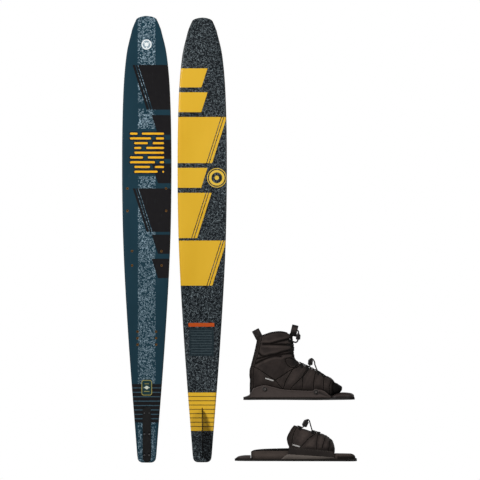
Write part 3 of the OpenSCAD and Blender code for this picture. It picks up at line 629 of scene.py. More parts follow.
def core_material():
    """Carbon cloth under clear resin, seen along the side walls."""
    m = Mat("core_carbon")
    _, y, z = m.xyz(m.obj)
    weave = m.mul(m.wave(m.mul(z, CARBON_PITCH)), m.wave(m.mul(m.add(y, m.mul(z, 0.5)), CARBON_PITCH)))
    n = m.noise(m.obj, 60.0, 4.0, 0.6)
    col = m.mix(m.mul(weave, 3.0), lin(20, 21, 22), lin(46, 47, 49))
    col = m.mix(m.mul(m.step(n, 0.62, 0.8), 0.3), col, lin(110, 112, 112))
    return m.set(Base_Color=col, Roughness=m.span(n, 0.3, 0.7, 0.28, 0.48), Specular_IOR_Level=0.4,
                 Coat_Weight=0.3, Coat_Roughness=0.15, Normal=m.bump(weave, 0.2, 0.0003))


CORE = core_material()
top_shape, base_shape, core_shape = ski_shapes()
for side, cx, turn in (("left", LEFT_X, 1), ("right", RIGHT_X, -1)):
    place = Matrix.Translation((cx * MM, 0, 0)) @ Matrix.Rotation(0 if turn > 0 else math.pi, 4, "Z")
    for shape, node, slot, mat in (
            (top_shape, "ski_topsheet", "topsheet", top_material(side + "_top_print", cx, turn)),
            (base_shape, "ski_base", "base", base_material(side + "_base_print", cx, -turn)),
            (core_shape, "ski_core", "core", CORE)):
        me = shape.data.copy()
        me.transform(place)
        me.materials.clear()
        me.materials.append(mat)
        o = add_object(side + "_" + node + "_skin", me)
        finish_piece(o, side + "_ski", slot, side + "_" + node)
    for node, mat in (("ski_inserts", BRASS), ("fin_block", BLACK_ALU), ("fin_block_screws", STEEL),
                      ("fin_set_screws", STEEL), ("fin", FIN_ALU)):
        paint(side + "_" + node, mat)
for o in (top_shape, base_shape, core_shape):
    bpy.data.objects.remove(o)

# ------------------------------------------------------------------ soft goods: shared shapes

def curve1(x, pts):
    """A smooth curve through (x, y) points that doesn't overshoot."""
    xs = np.array([p[0] for p in pts], float)
    ys = np.array([p[1] for p in pts], float)
    x = np.clip(np.asarray(x, float), xs[0], xs[-1])
    h = np.diff(xs)
    d = np.diff(ys) / h
    m = np.zeros(len(xs))
    m[0], m[-1] = d[0], d[-1]
    for i in range(1, len(xs) - 1):
        m[i] = 0 if d[i - 1] * d[i] <= 0 else 2 / (1 / d[i - 1] + 1 / d[i])
    k = np.clip(np.searchsorted(xs, x, side="right") - 1, 0, len(h) - 1)
    t = (x - xs[k]) / h[k]
    return hermite(t, h[k], ys[k], ys[k + 1], m[k], m[k + 1])


def read_off(x, pts):
    """The smooth curve's height at one place, as a plain number."""
    return float(curve1(x, pts))


def along(x, pts):
    """The height of a polyline of (x, y) points."""
    return np.interp(x, [q[0] for q in pts], [q[1] for q in pts])


def bow(v, power):
    """v to a power, keeping its sign: it squares off or sharpens a round section."""
    return np.sign(v) * np.abs(v) ** power


def unit(v):
    return v / np.linalg.norm(v)


def unit_rows(v, least=0.0):
    return v / (np.linalg.norm(v, axis=1)[:, None] + least)


def circle(n):
    return 2 * np.pi * np.arange(n) / n


def bell(d, w):
    """1 at no distance, falling away over a width w."""
    return np.exp(-(d / w) ** 2)


def ramp(d, a, b):
    """1 up to a distance a, 0 from b on."""
    return np.clip((b - d) / (b - a), 0, 1)


def rise(v):
    """v held between 0 and 1."""
    return np.clip(v, 0, 1)


def smooth_line(pts, step=1.5):
    """A polyline through the points along a Catmull-Rom curve, at an even step."""
    p = np.array(pts, float)
    q = np.vstack([2 * p[0] - p[1], p, 2 * p[-1] - p[-2]])
    out = []
    for i in range(1, len(q) - 2):
        n = max(2, int(np.linalg.norm(q[i + 1] - q[i]) / step))
        for k in range(n):
            t = k / n
            out.append(0.5 * ((2 * q[i]) + (-q[i - 1] + q[i + 1]) * t
                              + (2 * q[i - 1] - 5 * q[i] + 4 * q[i + 1] - q[i + 2]) * t**2
                              + (-q[i - 1] + 3 * q[i] - 3 * q[i + 1] + q[i + 2]) * t**3))
    out.append(p[-1])
    return np.array(out)


def loft(name, rings, cap=True):
    """A closed form through rings of the same number of points; each ring is an (n, 3) array."""
    o = mesh_object(name, [tuple(p) for r in rings for p in r], ring_faces(len(rings), len(rings[0]), cap))
    return reshape(o, lambda bm: bmesh.ops.remove_doubles(bm, verts=bm.verts, dist=1e-7))


def slab(name, outline, y0, y1):
    """An extruded polygon of (x, z) points between two y values, for cutting with."""
    return prisms(name, [(outline, y0, y1)])


def coords(o):
    a = np.empty(len(o.data.vertices) * 3)
    o.data.vertices.foreach_get("co", a)
    return a.reshape(-1, 3)


def put_coords(o, a):
    o.data.vertices.foreach_set("co", np.ascontiguousarray(a, dtype=float).ravel())
    o.data.update()


def vertex_normals(o):
    a = np.empty(len(o.data.vertices) * 3, dtype=np.float32)
    o.data.vertex_normals.foreach_get("vector", a)
    return a.reshape(-1, 3)


def attribute(o, name, values):
    at = o.data.attributes.new(name, "FLOAT", "POINT")
    at.data.foreach_set("value", np.ascontiguousarray(values, dtype=np.float32))


def seam_field(xz, lines, chunk=20000):
    """Distance to the nearest of the lines, the length along it, and which side of it, for each (x, z)."""
    best = np.full(len(xz), 1e3)
    run = np.zeros(len(xz))
    side = np.zeros(len(xz))
    for ln in lines:
        a, d = ln[:-1], np.diff(ln, axis=0)
        L = np.linalg.norm(d, axis=1)
        s0 = np.concatenate([[0], np.cumsum(L)[:-1]])
        for i in range(0, len(xz), chunk):
            part = slice(i, i + chunk)
            ap = xz[part][:, None, :] - a[None]
            t = np.clip((ap * d[None]).sum(2) / (L**2)[None], 0, 1)
            v = ap - t[:, :, None] * d[None]
            dist = np.sqrt((v**2).sum(2))
            k = dist.argmin(1)
            r = np.arange(len(ap))
            near = dist[r, k]
            better = near < best[part]
            cross = d[k, 0] * ap[r, k, 1] - d[k, 1] * ap[r, k, 0]
            best[part] = np.where(better, near, best[part])
            run[part] = np.where(better, s0[k] + t[r, k] * L[k], run[part])
            side[part] = np.where(better, np.sign(cross), side[part])
    return best, run, side


def voxel(o, size, passes=6):
    r = o.modifiers.new("remesh", "REMESH")
    r.mode = "VOXEL"
    r.voxel_size = size
    s = o.modifiers.new("smooth", "SMOOTH")
    s.factor = 0.5
    s.iterations = passes
    return apply_modifiers(o)


SIM_SCALE = 0.01                    # millimetres to the simulation's units, ten times life size
CLOTH = {"quality": 6, "mass": 0.3, "tension_stiffness": 15.0, "compression_stiffness": 15.0, "shear_stiffness": 5,
         "bending_stiffness": 0.3, "use_pressure": True, "vertex_group_mass": "pins"}


def inflate(o, pins, pressure, cap, frames=18):
    """Puffs a closed soft form out between its pinned seams with a cloth simulation, by at most cap millimetres.
    o is in millimetres; the simulation runs at ten times life size, which keeps it steady."""
    before = coords(o)
    g = o.vertex_groups.new(name="pins")
    for w in range(1, 11):
        idx = np.nonzero(np.round(pins * 10).astype(int) == w)[0]
        if len(idx):
            g.add([int(i) for i in idx], w / 10, "REPLACE")
    put_coords(o, before * SIM_SCALE)
    c = o.modifiers.new("cloth", "CLOTH")
    for key, value in CLOTH.items():
        setattr(c.settings, key, value)
    c.settings.uniform_pressure_force = pressure
    c.settings.effector_weights.gravity = 0
    c.collision_settings.use_collision = False
    c.point_cache.frame_start, c.point_cache.frame_end = 1, frames
    scene.frame_start, scene.frame_end = 1, frames
    for f in range(1, frames + 1):
        scene.frame_set(f)
    apply_modifiers(o)
    d = coords(o) * (1 / SIM_SCALE) - before
    far = np.linalg.norm(d, axis=1)
    share = np.where(far > 1e-6, cap * np.tanh(far / cap) / np.maximum(far, 1e-6), 0)
    put_coords(o, before + d * share[:, None])
    scene.frame_set(1)


def subdivide(o, levels=1):
    s = o.modifiers.new("sub", "SUBSURF")
    s.levels = s.render_levels = levels
    return apply_modifiers(o)


def wrinkle_noise(p, scale, seed=0.0):
    """Smooth noise about zero at each point; scale may differ along each axis."""
    q = p * np.array(scale)[None] + seed
    return np.array([noise.noise(Vector(v)) for v in q])


def place_mm(o, x, z):
    """Moves a mesh drawn in millimetres to its place in metres."""
    o.data.transform(Matrix.Translation((x * MM, 0, z * MM)) @ Matrix.Scale(MM, 4))
    o.data.update()
    return o


def tube(points, r, segs=10, closed=False, up=(0, 1, 0)):
    """A round cord along a polyline: vertices and faces."""
    p = np.array(points, float)
    t = np.roll(p, -1, 0) - np.roll(p, 1, 0) if closed else np.gradient(p, axis=0)
    t = unit_rows(t, 1e-9)
    s = np.array(up, float)
    verts = []
    for q, way in zip(p, t):
        s = s - way * np.dot(s, way)
        s /= np.linalg.norm(s) + 1e-9
        w = np.cross(way, s)
        for a in circle(segs):
            verts.append(q + r * (math.cos(a) * s + math.sin(a) * w))
    return verts, ring_faces(len(p), segs, closed=closed)


def ribbon(path, width, t, across, rows=8):
    """Webbing along a path: a band with soft edges and a closed thickness. across is the direction of its width."""
    p = np.array(path, float)
    ac = np.array(across, float)
    if ac.ndim == 1:
        ac = np.tile(ac, (len(p), 1))
    shares = [-1 + 2 * k / rows for k in range(rows + 1)]
    prof = [(s * width / 2, t / 2 * (1 - 0.55 * abs(s) ** 6)) for s in shares]
    prof += [(a, -h) for a, h in prof[::-1]]
    verts = []
    for q, way, side in zip(p, unit_rows(np.gradient(p, axis=0), 1e-9), ac):
        nn = np.cross(way, side)
        nn /= np.linalg.norm(nn) + 1e-9
        verts += [q + side * a + nn * h for a, h in prof]
    return verts, ring_faces(len(p), len(prof))


def joined(name, parts, mat, x, z):
    """One mesh of several (vertices, faces) parts drawn in millimetres, in its place."""
    verts, faces = [], []
    for v, f in parts:
        n = len(verts)
        verts += [tuple(q) for q in v]
        faces += [tuple(i + n for i in g) for g in f]
    return reshape(place_mm(mesh_object(name, verts, faces, mat), x, z))


def soft_box(size, r, steps=3):
    """A block with rounded edges about the origin: vertices and faces."""
    bm = bmesh.new()
    bmesh.ops.create_cube(bm, size=1.0)
    for v in bm.verts:
        v.co = Vector((v.co.x * size[0], v.co.y * size[1], v.co.z * size[2]))
    bmesh.ops.bevel(bm, geom=list(bm.edges), offset=r, segments=steps, profile=0.5, affect="EDGES")
    bm.verts.ensure_lookup_table()
    vs = [np.array(v.co) for v in bm.verts]
    fs = [tuple(v.index for v in f.verts) for f in bm.faces]
    bm.free()
    return vs, fs


def moved(part, at=(0, 0, 0), turn=0.0, axis="Y"):
    m = Matrix.Translation(Vector(at)) @ Matrix.Rotation(turn, 4, axis)
    return [np.array(m @ Vector(tuple(v))) for v in part[0]], part[1]


def round_slab(outline, y0, y1, r, steps=4, dish=0.0, dish_in=4.0, room=None):
    """A slab of (x, z) outline between y0 and y1 with rounded rims, and its outer face (y0) dished inside a margin.
    room gives the most that a point at (x, z) may be drawn in."""
    p = np.array(outline, float)
    if np.sum(p[:, 0] * np.roll(p[:, 1], -1) - np.roll(p[:, 0], -1) * p[:, 1]) < 0:
        p = p[::-1]
    most = np.array([room(a, b) if room else 1e3 for a, b in p])[:, None]
    a, b = p - np.roll(p, 1, 0), np.roll(p, -1, 0) - p
    na = unit_rows(np.stack([a[:, 1], -a[:, 0]], 1), 1e-9)
    nb = unit_rows(np.stack([b[:, 1], -b[:, 0]], 1), 1e-9)
    nn = na + nb
    nn = nn / np.maximum(np.linalg.norm(nn, axis=1)[:, None], 1e-6)
    c = np.maximum((nn * na).sum(1), 0.5)[:, None]
    def inset(d):
        return p - nn * np.minimum(d, most) / c
    rings = []
    if dish:
        rings += [(inset(dish_in + 1.2), y0 + dish), (inset(dish_in + 0.6), y0 + dish * 0.9),
                  (inset(dish_in), y0 + dish * 0.1)]
    quarter = [math.pi / 2 * k / steps for k in range(steps + 1)]
    rings += [(inset(r * (1 - math.sin(a))), y0 + r * (1 - math.cos(a))) for a in quarter]
    rings += [(inset(r * (1 - math.sin(a))), y1 - r * (1 - math.cos(a))) for a in quarter[::-1]]
    return [(a, y, b) for q, y in rings for a, b in q], ring_faces(len(rings), len(p))


def fine_outline(pts, step=3.0):
    """The polygon with long sides divided, so that rims and corners stay even."""
    out = []
    n = len(pts)
    for i in range(n):
        a, b = np.array(pts[i], float), np.array(pts[(i + 1) % n], float)
        k = max(1, int(np.linalg.norm(b - a) / step))
        out += [tuple(a + (b - a) * j / k) for j in range(k)]
    return out


# ---- materials of the bindings

def toned(m, col):
    """The colour darkened where the mesh's shade is above nothing, and lightened where it's below."""
    shade = m.read("shade")
    col = m.mix(m.top(shade, 0.0), col, lin(8, 7, 6))
    return m.mix(m.top(m.mul(shade, -1.0), 0.0), col, lin(100, 88, 82))


def tint(o, tone, x, z):
    """Stores how dark each point of a placed piece is, from its place in the part's own millimetres."""
    p = coords(o) / MM - np.array([x, 0, z])
    attribute(o, "shade", np.clip(tone(p), -0.5, 0.95))


def weft(m, point, way, pitch):
    """Ridges square to a direction, as a triangle wave."""
    x, y, z = point
    return m.wave(m.mul(m.add(m.add(m.mul(x, way[0]), m.mul(y, way[1])), m.mul(z, way[2])), pitch))


def fabric(name, dark, light, seams=True, rough=0.78, weave=900.0):
    """A fine twill, brushed and a little uneven. With seams it has the creases, stitches and dark patches that the
    mesh's seam_d, seam_s and zone give."""
    m = Mat(name)
    point = m.xyz(m.obj)
    t = m.add(m.mul(weft(m, point, (1, 0.7, 1), weave), 1.2), m.mul(weft(m, point, (1, -0.6, -1), weave * 0.5), 0.5))
    big = m.noise(m.obj, 28.0, 4.0, 0.55)
    small = m.noise(m.obj, 420.0, 3.0, 0.6)
    col = m.mix(m.step(big, 0.3, 0.72), dark, light)
    col = m.mix(m.mul(t, 0.25), col, m.mix(0.5, light, lin(90, 80, 76)))
    height = m.add(m.mul(t, 0.5), m.mul(small, 0.5))
    if seams:
        d = m.read("seam_d")
        col = m.mix(m.mul(m.step(d, 1.5, 0.4), 0.85), col, lin(9, 8, 7))
        dash = m.math("LESS_THAN", m.math("FRACT", m.mul(m.read("seam_s"), 1 / STITCH_PITCH)), 0.66)
        row = m.mul(m.step(m.math("ABSOLUTE", m.sub(d, 2.6)), 0.55, 0.25), dash)
        col = m.mix(m.mul(row, 0.55), col, lin(98, 88, 82))
        height = m.add(height, m.mul(row, 1.2))
        col = m.mix(m.mul(m.read("zone"), 0.9), col, m.mix(big, lin(15, 13, 12), lin(26, 23, 22)))
    lit = m.sub(1.0, m.top(m.read("shade"), 0.0))
    return m.set(Base_Color=toned(m, col), Roughness=m.span(small, 0.3, 0.7, rough - 0.06, rough + 0.08),
                 Specular_IOR_Level=m.mul(lit, 0.16), Sheen_Weight=m.mul(lit, 0.063), Sheen_Roughness=0.5,
                 Normal=m.bump(height, 0.35, 0.00035))


def moulded(name, dark, light, rough=0.46, grain=260.0, spec=0.24):
    """A moulded plastic with a fine pebble grain, softly rounded where edges meet."""
    m = Mat(name)
    g = m.voronoi(m.vmath("SCALE", m.obj, scale=grain * 4))
    n = m.noise(m.obj, 40.0, 4.0, 0.6)
    sc = m.step(m.noise(m.vmath("MULTIPLY", m.obj, (60, 400, 900)), 1.0, 4.0, 0.7), 0.62, 0.75)
    col = toned(m, m.mix(m.mul(sc, 0.16), m.mix(n, dark, light), lin(120, 112, 106)))
    rounded = m.node("Bevel", {"Radius": 0.0008}, samples=4).outputs[0]
    return m.set(Base_Color=col, Roughness=m.add(m.span(g, 0.1, 0.9, rough - 0.05, rough + 0.07), m.mul(sc, 0.1)),
                 Specular_IOR_Level=spec, Normal=m.bump(g, 0.18, 0.0002, rounded))


def foam_material(name, dark, light, pores=1400.0):
    """Closed-cell foam with dark pores."""
    m = Mat(name)
    v = m.voronoi(m.vmath("SCALE", m.obj, scale=pores))
    col = toned(m, m.mix(m.step(v, 0.12, 0.0), m.mix(m.noise(m.obj, 60.0, 3.0), dark, light), lin(8, 8, 8)))
    return m.set(Base_Color=col, Roughness=0.86, Specular_IOR_Level=0.10, Normal=m.bump(v, 0.35, 0.0004))


def cord_material(name, dark, light):
    """Braided cord."""
    m = Mat(name)
    point = m.xyz(m.obj)
    h = m.top(weft(m, point, (1, 1, 1), 520.0), weft(m, point, (1, -1, -1), 520.0))
    return m.set(Base_Color=m.mix(m.mul(h, 1.6), dark, light), Roughness=0.7, Specular_IOR_Level=0.16,
                 Sheen_Weight=0.05, Normal=m.bump(h, 0.5, 0.0004))


def webbing_material(name, dark, light):
    """Flat webbing, ribbed across."""
    m = Mat(name)
    point = m.xyz(m.obj)
    h = m.add(m.mul(weft(m, point, (0.3, 0, 1), 620.0), 0.8), m.mul(weft(m, point, (0, 1, 0), 480.0), 0.6))
    col = toned(m, m.mix(m.mul(h, 1.2), dark, m.mix(m.noise(m.obj, 50.0, 3.0), light, dark)))
    return m.set(Base_Color=col, Roughness=0.74, Specular_IOR_Level=0.16, Sheen_Weight=0.05,
                 Normal=m.bump(h, 0.5, 0.0005))


STITCH_PITCH = 3.6
FABRIC = fabric("upper_fabric", lin(37, 31, 29), lin(51, 43, 40))
LINING = fabric("lining_fabric", lin(16, 15, 14), lin(26, 24, 23), seams=False, weave=700.0)
MESH = foam_material("air_mesh", lin(20, 18, 17), lin(34, 31, 29), 900.0)
NEOPRENE = foam_material("neoprene", lin(12, 10, 9), lin(20, 18, 17), 2200.0)
FOAM = foam_material("bed_foam", lin(66, 58, 54), lin(80, 71, 66))
FLANGE = moulded("flange_plastic", lin(92, 84, 79), lin(108, 100, 94))
GUIDE = webbing_material("guide_webbing", lin(10, 9, 8), lin(26, 23, 22))
PAD_FOAM = foam_material("heel_foam", lin(30, 27, 26), lin(42, 38, 36))
RAIL = moulded("rail_plastic", lin(62, 54, 51), lin(74, 65, 62))
PLATE = moulded("plate_plastic", lin(22, 19, 18), lin(32, 28, 26), 0.42)
RISER = moulded("riser_plastic", lin(38, 32, 31), lin(52, 44, 42), 0.5)
BAND = fabric("flange_band", lin(28, 24, 22), lin(38, 33, 31), seams=False, weave=500.0)
CORD = cord_material("lace_cord", lin(12, 11, 10), lin(40, 36, 34))
WEB = webbing_material("webbing", lin(30, 26, 25), lin(62, 55, 52))
LOCK = moulded("lock_plastic", lin(20, 18, 18), lin(34, 31, 30), 0.34, 400.0, 0.45)
TAG = fabric("tag_weave", lin(170, 168, 165), lin(205, 203, 200), seams=False, weave=1200.0, rough=0.6)

# ------------------------------------------------------------------ the boot

BX, BZ = (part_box("boot_plate")[0][k] / MM for k in (0, 2))
BACK = [(13, 28.5), (38, 27), (60, 25.3), (105, 22.8), (132, 30), (170, 40), (214, 49.5), (264, 60)]
FRONT = [(13, 150), (90, 186), (128, 197), (143, 195), (164, 186.5), (194, 182.5), (228, 178), (264, 172)]
LEG_W = [(13, 41), (40, 44), (90, 44), (130, 40.5), (170, 40), (210, 41), (264, 41.5)]
VAMP = [(24, 60), (60, 96), (120, 112), (160, 132), (180, 141), (194, 142.5), (233, 128), (270, 110), (302, 90),
        (322, 81), (334, 70), (341, 54), (345, 40)]
FOOT_W = [(24, 6), (27, 15), (40, 31), (66, 41), (120, 44), (190, 44), (260, 45), (305, 42.5), (330, 34), (339, 25),
          (345, 8)]
COLLAR = [(30, 219), (56, 232), (74, 237), (106, 247), (136, 250), (158, 247), (173, 240.5), (188, 231)]
RAIL_TOP = [(3, 7), (10, 9.6), (17, 12), (22, 15.5), (26, 20.5), (30, 30), (36, 41), (48, 46.5), (64, 52), (79, 54.5),
            (92, 52), (112, 47), (140, 40), (172, 36.5), (215, 34.5), (252, 33.5), (263, 36), (275, 38), (288, 37),
            (302, 30), (316, 18.5), (326, 8.5)]
BOLTS = [(79, 39.5), (268, 29)]


def leg_ring(z, inset=0.0, n=56):
    """A level section of the leg, drawn in by inset."""
    xb, xf = curve1(z, BACK) + inset, curve1(z, FRONT) - inset
    c, s = np.cos(circle(n)), np.sin(circle(n))
    power = 2 / np.where(c < 0, 2.25, 2.35)
    x = (xb + xf) / 2 + (xf - xb) / 2 * bow(c, power)
    y = (curve1(z, LEG_W) - inset) * bow(s, power) * (1 - 0.10 * rise(c))
    return np.stack([x, y, np.full(n, float(z))], 1)


def foot_ring(x, n=56, bottom=15.0):
    """An upright section of the foot, widest low down."""
    top = curve1(x, VAMP)
    wide = bottom + min(20.0, 0.35 * (top - bottom))
    c, s = np.cos(circle(n)), np.sin(circle(n))
    y = curve1(x, FOOT_W) * bow(c, np.where(s > 0, 2 / 2.15, 2 / 3.4))
    z = np.where(s > 0, wide + (top - wide) * np.abs(s) ** (2 / 2.1), wide - (wide - bottom) * np.abs(s) ** (2 / 3.0))
    return np.stack([np.full(n, float(x)), y, z], 1)


def band_under(line, depth):
    """The outline between a side-view line 20 above it and one that runs a depth below it."""
    t = np.gradient(line, axis=0)
    below = line + unit_rows(np.stack([t[:, 1], -t[:, 0]], 1)) * depth
    return [tuple(q) for q in line + [0, 20]] + [tuple(q) for q in below[::-1]]


leg = loft("leg", [leg_ring(z) for z in np.linspace(17, 262, 50)])
foot_x = np.concatenate([np.linspace(24.3, 40, 8), np.linspace(46, 325, 48), np.linspace(329, 344, 8)])
cut(leg, [loft("foot", [foot_ring(x) for x in foot_x])], "UNION")
collar_x = np.linspace(20, 196, 40)
above = slab("above", list(zip(collar_x, curve1(collar_x, COLLAR))) + [(196, 330), (20, 330)], -70, 70)
cavity = loft("cavity", [leg_ring(z, 8.0) for z in np.linspace(60, 300, 40)])
window = slab("window", [(140, 172), (215, 160), (215, 320), (140, 320)], -14, 14)
vx = np.linspace(206, 318, 24)
slot = slab("slot", band_under(np.stack([vx, curve1(vx, VAMP)], 1), 8.5), -13, 13)
toe_mouth = loft("mouth", [np.stack([np.full(32, x), 30 * np.cos(circle(32)), 41 + 20 * np.sin(circle(32))], 1)
                           for x in (328.0, 360.0)])
cut(leg, [above, cavity, window, slot, toe_mouth])
upper = voxel(leg, 3.0, 5)

SEAMS = [smooth_line(q) for q in (
    [(28, 126), (58, 112), (90, 90), (117, 73)],
    [(117, 73), (145, 90), (172, 108), (203, 122), (216, 133)],
    [(117, 72.5), (131, 56), (147, 37), (150, 30)],
    [(146, 34), (150, 50), (159, 74), (183, 113), (200, 128)],
    [(172, 34), (182, 50), (213, 80), (233, 101), (243, 120)],
    [(216, 34), (219, 60), (221, 90), (235, 112)],
    [(259, 34), (260, 60), (263, 86), (270, 106)],
    [(295, 32), (296, 62), (300, 92)],
    [(319, 22), (318, 50), (328, 76)],
    [(154, 150), (168, 154), (184, 149), (199, 139)],
    [(154, 150), (159, 133), (175, 120), (199, 121)])]
FOLDS = [smooth_line(q) for q in (
    [(96, 205), (122, 212), (150, 219), (184, 227)],
    [(72, 205), (102, 205), (130, 204), (186, 201)],
    [(52, 174), (74, 160), (110, 165), (140, 174), (186, 184)],
    [(44, 149), (78, 158), (104, 165), (142, 168), (186, 172)],
    [(38, 130), (72, 147), (110, 161), (140, 161)])]
SPINE = smooth_line([(70, 236), (63, 205), (55, 170), (45, 138), (38, 112), (36, 80), (38, 40)])


def leg_value(q):
    """About 1 on the outside of the leg, less inside it."""
    z = np.clip(q[:, 2], 13, 262)
    xb, xf, w = curve1(z, BACK), curve1(z, FRONT), curve1(z, LEG_W)
    return (np.abs((q[:, 0] - (xb + xf) / 2) / ((xf - xb) / 2)) ** 2.35 + np.abs(q[:, 1] / w) ** 2.35) ** (1 / 2.35)


def in_boot(q, share, floor):
    """Which points are on the inside of the leg's shaft."""
    return (leg_value(q) < share) & (q[:, 2] > floor) & (q[:, 0] < 190)


def spine_x(z):
    """Where the seam behind the leg is, at each height."""
    return np.interp(z, SPINE[::-1, 1], SPINE[::-1, 0])


def in_polygon(q, poly):
    """Which (x, z) points are inside the polygon."""
    r = np.zeros(len(q), bool)
    for (x1, z1), (x2, z2) in zip(poly, poly[1:] + poly[:1]):
        r ^= ((z1 > q[:, 1]) != (z2 > q[:, 1])) & (q[:, 0] < (x2 - x1) * (q[:, 1] - z1) / (z2 - z1 + 1e-9) + x1)
    return r


def lean(p, share):
    """The points with x drawn back by a share of z, so that noise over them runs in slanted creases."""
    return np.stack([p[:, 0] - share * p[:, 2], p[:, 1], p[:, 2]], 1)


def cover(o, p, is_lining):
    """Fabric outside and lining within, smooth all over. Gives back the surface for rays to meet."""
    me = o.data
    me.materials.clear()
    me.materials.append(FABRIC)
    me.materials.append(LINING)
    middles = np.array([np.mean([p[i] for i in f.vertices], axis=0) for f in me.polygons])
    me.polygons.foreach_set("material_index", is_lining(middles).astype(np.int32))
    me.polygons.foreach_set("use_smooth", [True] * len(me.polygons))
    return BVHTree.FromPolygons([tuple(v) for v in coords(o)], [tuple(f.vertices) for f in me.polygons])


p = coords(upper)
xz = p[:, [0, 2]]
pins = np.maximum.reduce([
    ramp(seam_field(xz, SEAMS)[0], 1.5, 4.0), 0.9 * ramp(seam_field(xz, FOLDS)[0], 1.5, 4.5),
    0.8 * ramp(seam_field(xz, [SPINE])[0], 1.5, 4.0), ramp(p[:, 2], 20, 34), in_boot(p, 0.90, 58) * 0.9,
    0.85 * (p[:, 0] < spine_x(p[:, 2]) - 4)])
inflate(upper, rise(pins), pressure=5.0, cap=3.2)
subdivide(upper)

# folds, seams and creases
p = coords(upper)
px, py, pz = p.T
xz = p[:, [0, 2]]
d_seam, s_seam, side = seam_field(xz, SEAMS)
d_fold = seam_field(xz, FOLDS)[0]
d_spine, s_spine, _ = seam_field(xz, [SPINE])
inside = in_boot(p, 0.905, 58)
behind = (px < spine_x(pz)).astype(float)
cuff_part = rise((pz - 118) / 40)
creases = wrinkle_noise(p, (0.018, 0.03, 0.10), 3.1)
small = wrinkle_noise(p, (0.06, 0.06, 0.11), 9.4)
vamp_creases = wrinkle_noise(lean(p, 0.45), (0.11, 0.03, 0.02), 5.2)
h = (-1.0 * bell(d_seam, 1.5) + 0.55 * bell(d_seam - 2.0, 1.2) * (side > 0)
     + (1 - 0.85 * behind) * (1.3 * bell(d_fold - 9.5, 5.5) - 3.2 * bell(d_fold, 4.2))
     + 0.9 * behind * rise(d_spine / 2.0) - 0.7 * bell(d_spine, 1.2)
     + 1.3 * creases * cuff_part * (1 - 0.7 * behind) + 0.35 * small
     + 0.8 * vamp_creases * (1 - cuff_part) * rise((pz - 34) / 20))
h *= (1.0 - inside) * rise((pz - 18) / 10)
put_coords(upper, p + vertex_normals(upper) * h[:, None])
on_spine = d_spine < d_seam
attribute(upper, "seam_d", np.where(inside, 50.0, np.where(on_spine, d_spine, d_seam)))
attribute(upper, "seam_s", np.where(on_spine, s_spine, s_seam))

# shade: dark in the folds, under the collar and by the rail, light where a panel swells
puff = rise((np.minimum(d_seam, d_fold) - 4) / 12) * rise((pz - 46) / 12)
from_back = px - curve1(np.clip(pz, 13, 262), BACK)
over_rail = pz - along(px, RAIL_TOP)
under_collar = curve1(np.clip(px, 20, 196), COLLAR) - pz
dark = np.maximum.reduce([
    0.80 * bell(d_fold, 3.0) * (1 - behind),
    0.62 * bell(d_seam, 2.4),
    0.35 * bell(d_spine, 2.0),
    0.85 * rise((px - 318) / 14),
    0.85 * bell(np.maximum(from_back - 1.5, 0), 2.4),
    0.45 * rise(1 - from_back / 22),
    0.90 * bell(over_rail - 0.5, 3.2),
    0.42 * rise(1 - over_rail / 22) * (px < 330),
    0.75 * bell(under_collar, 3.0) * (pz > 200),
    0.30 * rise((170 - pz) / 20) * rise((px - 232) / 30) * (np.abs(py) < 22)])
glow = (0.30 * bell(d_fold - 9.0, 5.0) * (1 - behind)
        + 0.24 * puff * rise((px - 140) / 22) * rise((132 - pz) / 24) * rise((over_rail - 8) / 10)
        + 0.10 * puff * rise((pz - 140) / 25))
# painted shade and highlight along the creases: lighter where they stand out, darker where they sink
crease_shading = 0.10 * creases * cuff_part + 0.12 * vamp_creases * (1 - cuff_part) + 0.05 * small
shade = np.clip(dark + 0.10 - glow * 0.75 * (1 - dark) - crease_shading, -0.35, 0.92)
attribute(upper, "shade", np.where(inside, 0.0, shade))

# zone: painted shade at the ankle, laid on as a dark patch where tongue, cuff and laces shade the leg, darkest towards
# the front and the bottom; the lowest edge, the front of the shin and the lining
ANKLE_SHADE_PATCH = [(162, 147), (172, 152), (184, 149), (199, 139), (203, 124), (178, 124), (166, 134)]
mid = (px - 186) * 0.8 - (pz - 138) * 0.6
attribute(upper, "zone", np.maximum.reduce([
    in_polygon(xz, ANKLE_SHADE_PATCH) * np.clip(0.75 + mid / 26, 0.25, 1.0), 0.55 * rise((40 - pz) / 6),
    rise((px - 171.5) / 3) * (pz > 150) * 0.62, inside * 1.0]))
skin = cover(upper, p, lambda q: in_boot(q, 0.93, 60))
place_mm(upper, BX, BZ)
upper.name = "boot_upper"
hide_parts("boot_shell", "boot_cuff")
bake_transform(upper)
local = coords(upper) / MM - np.array([BX, 0, BZ])


# ---- the padded lining of the cuff, with a soft rim
RIM_N = 64


def rim_ring(inset, drop):
    """A section that follows the collar, a drop below it."""
    zs = [read_off(q[0], COLLAR) - drop for q in leg_ring(240, inset, RIM_N)]
    return np.array([(*leg_ring(z, inset, RIM_N)[i][:2], z) for i, z in enumerate(zs)])


def close_rim(bm):
    """Joins the last ring to the first, under the lining."""
    bm.verts.ensure_lookup_table()
    v, last = bm.verts, len(bm.verts) - RIM_N
    for j in range(RIM_N):
        k = (j + 1) % RIM_N
        bm.faces.new((v[j], v[last + j], v[last + k], v[k]))


rings = [leg_ring(z, 7.2, RIM_N) for z in np.linspace(150, 226, 20)]
rings += [rim_ring(inset, drop) for drop, inset in (
    (12, 7.2), (5, 7.2), (1.5, 6.8), (-1.5, 7.6), (-2.6, 9.4), (-1.6, 11.6), (1.2, 13.0), (6, 13.6), (14, 13.2))]
rings += [leg_ring(z, 12.4, RIM_N) for z in np.linspace(222, 152, 18)]
liner = reshape(loft("boot_cuff_lining", rings, cap=False), close_rim)
cut(liner, [slab("front", [(140, 140), (215, 140), (215, 320), (140, 320)], -12, 12)])
subdivide(liner)
liner.data.materials.append(LINING)
place_mm(liner, BX, BZ)
finish_piece(liner, "boot_cuff", "lining", "boot_cuff_liner")


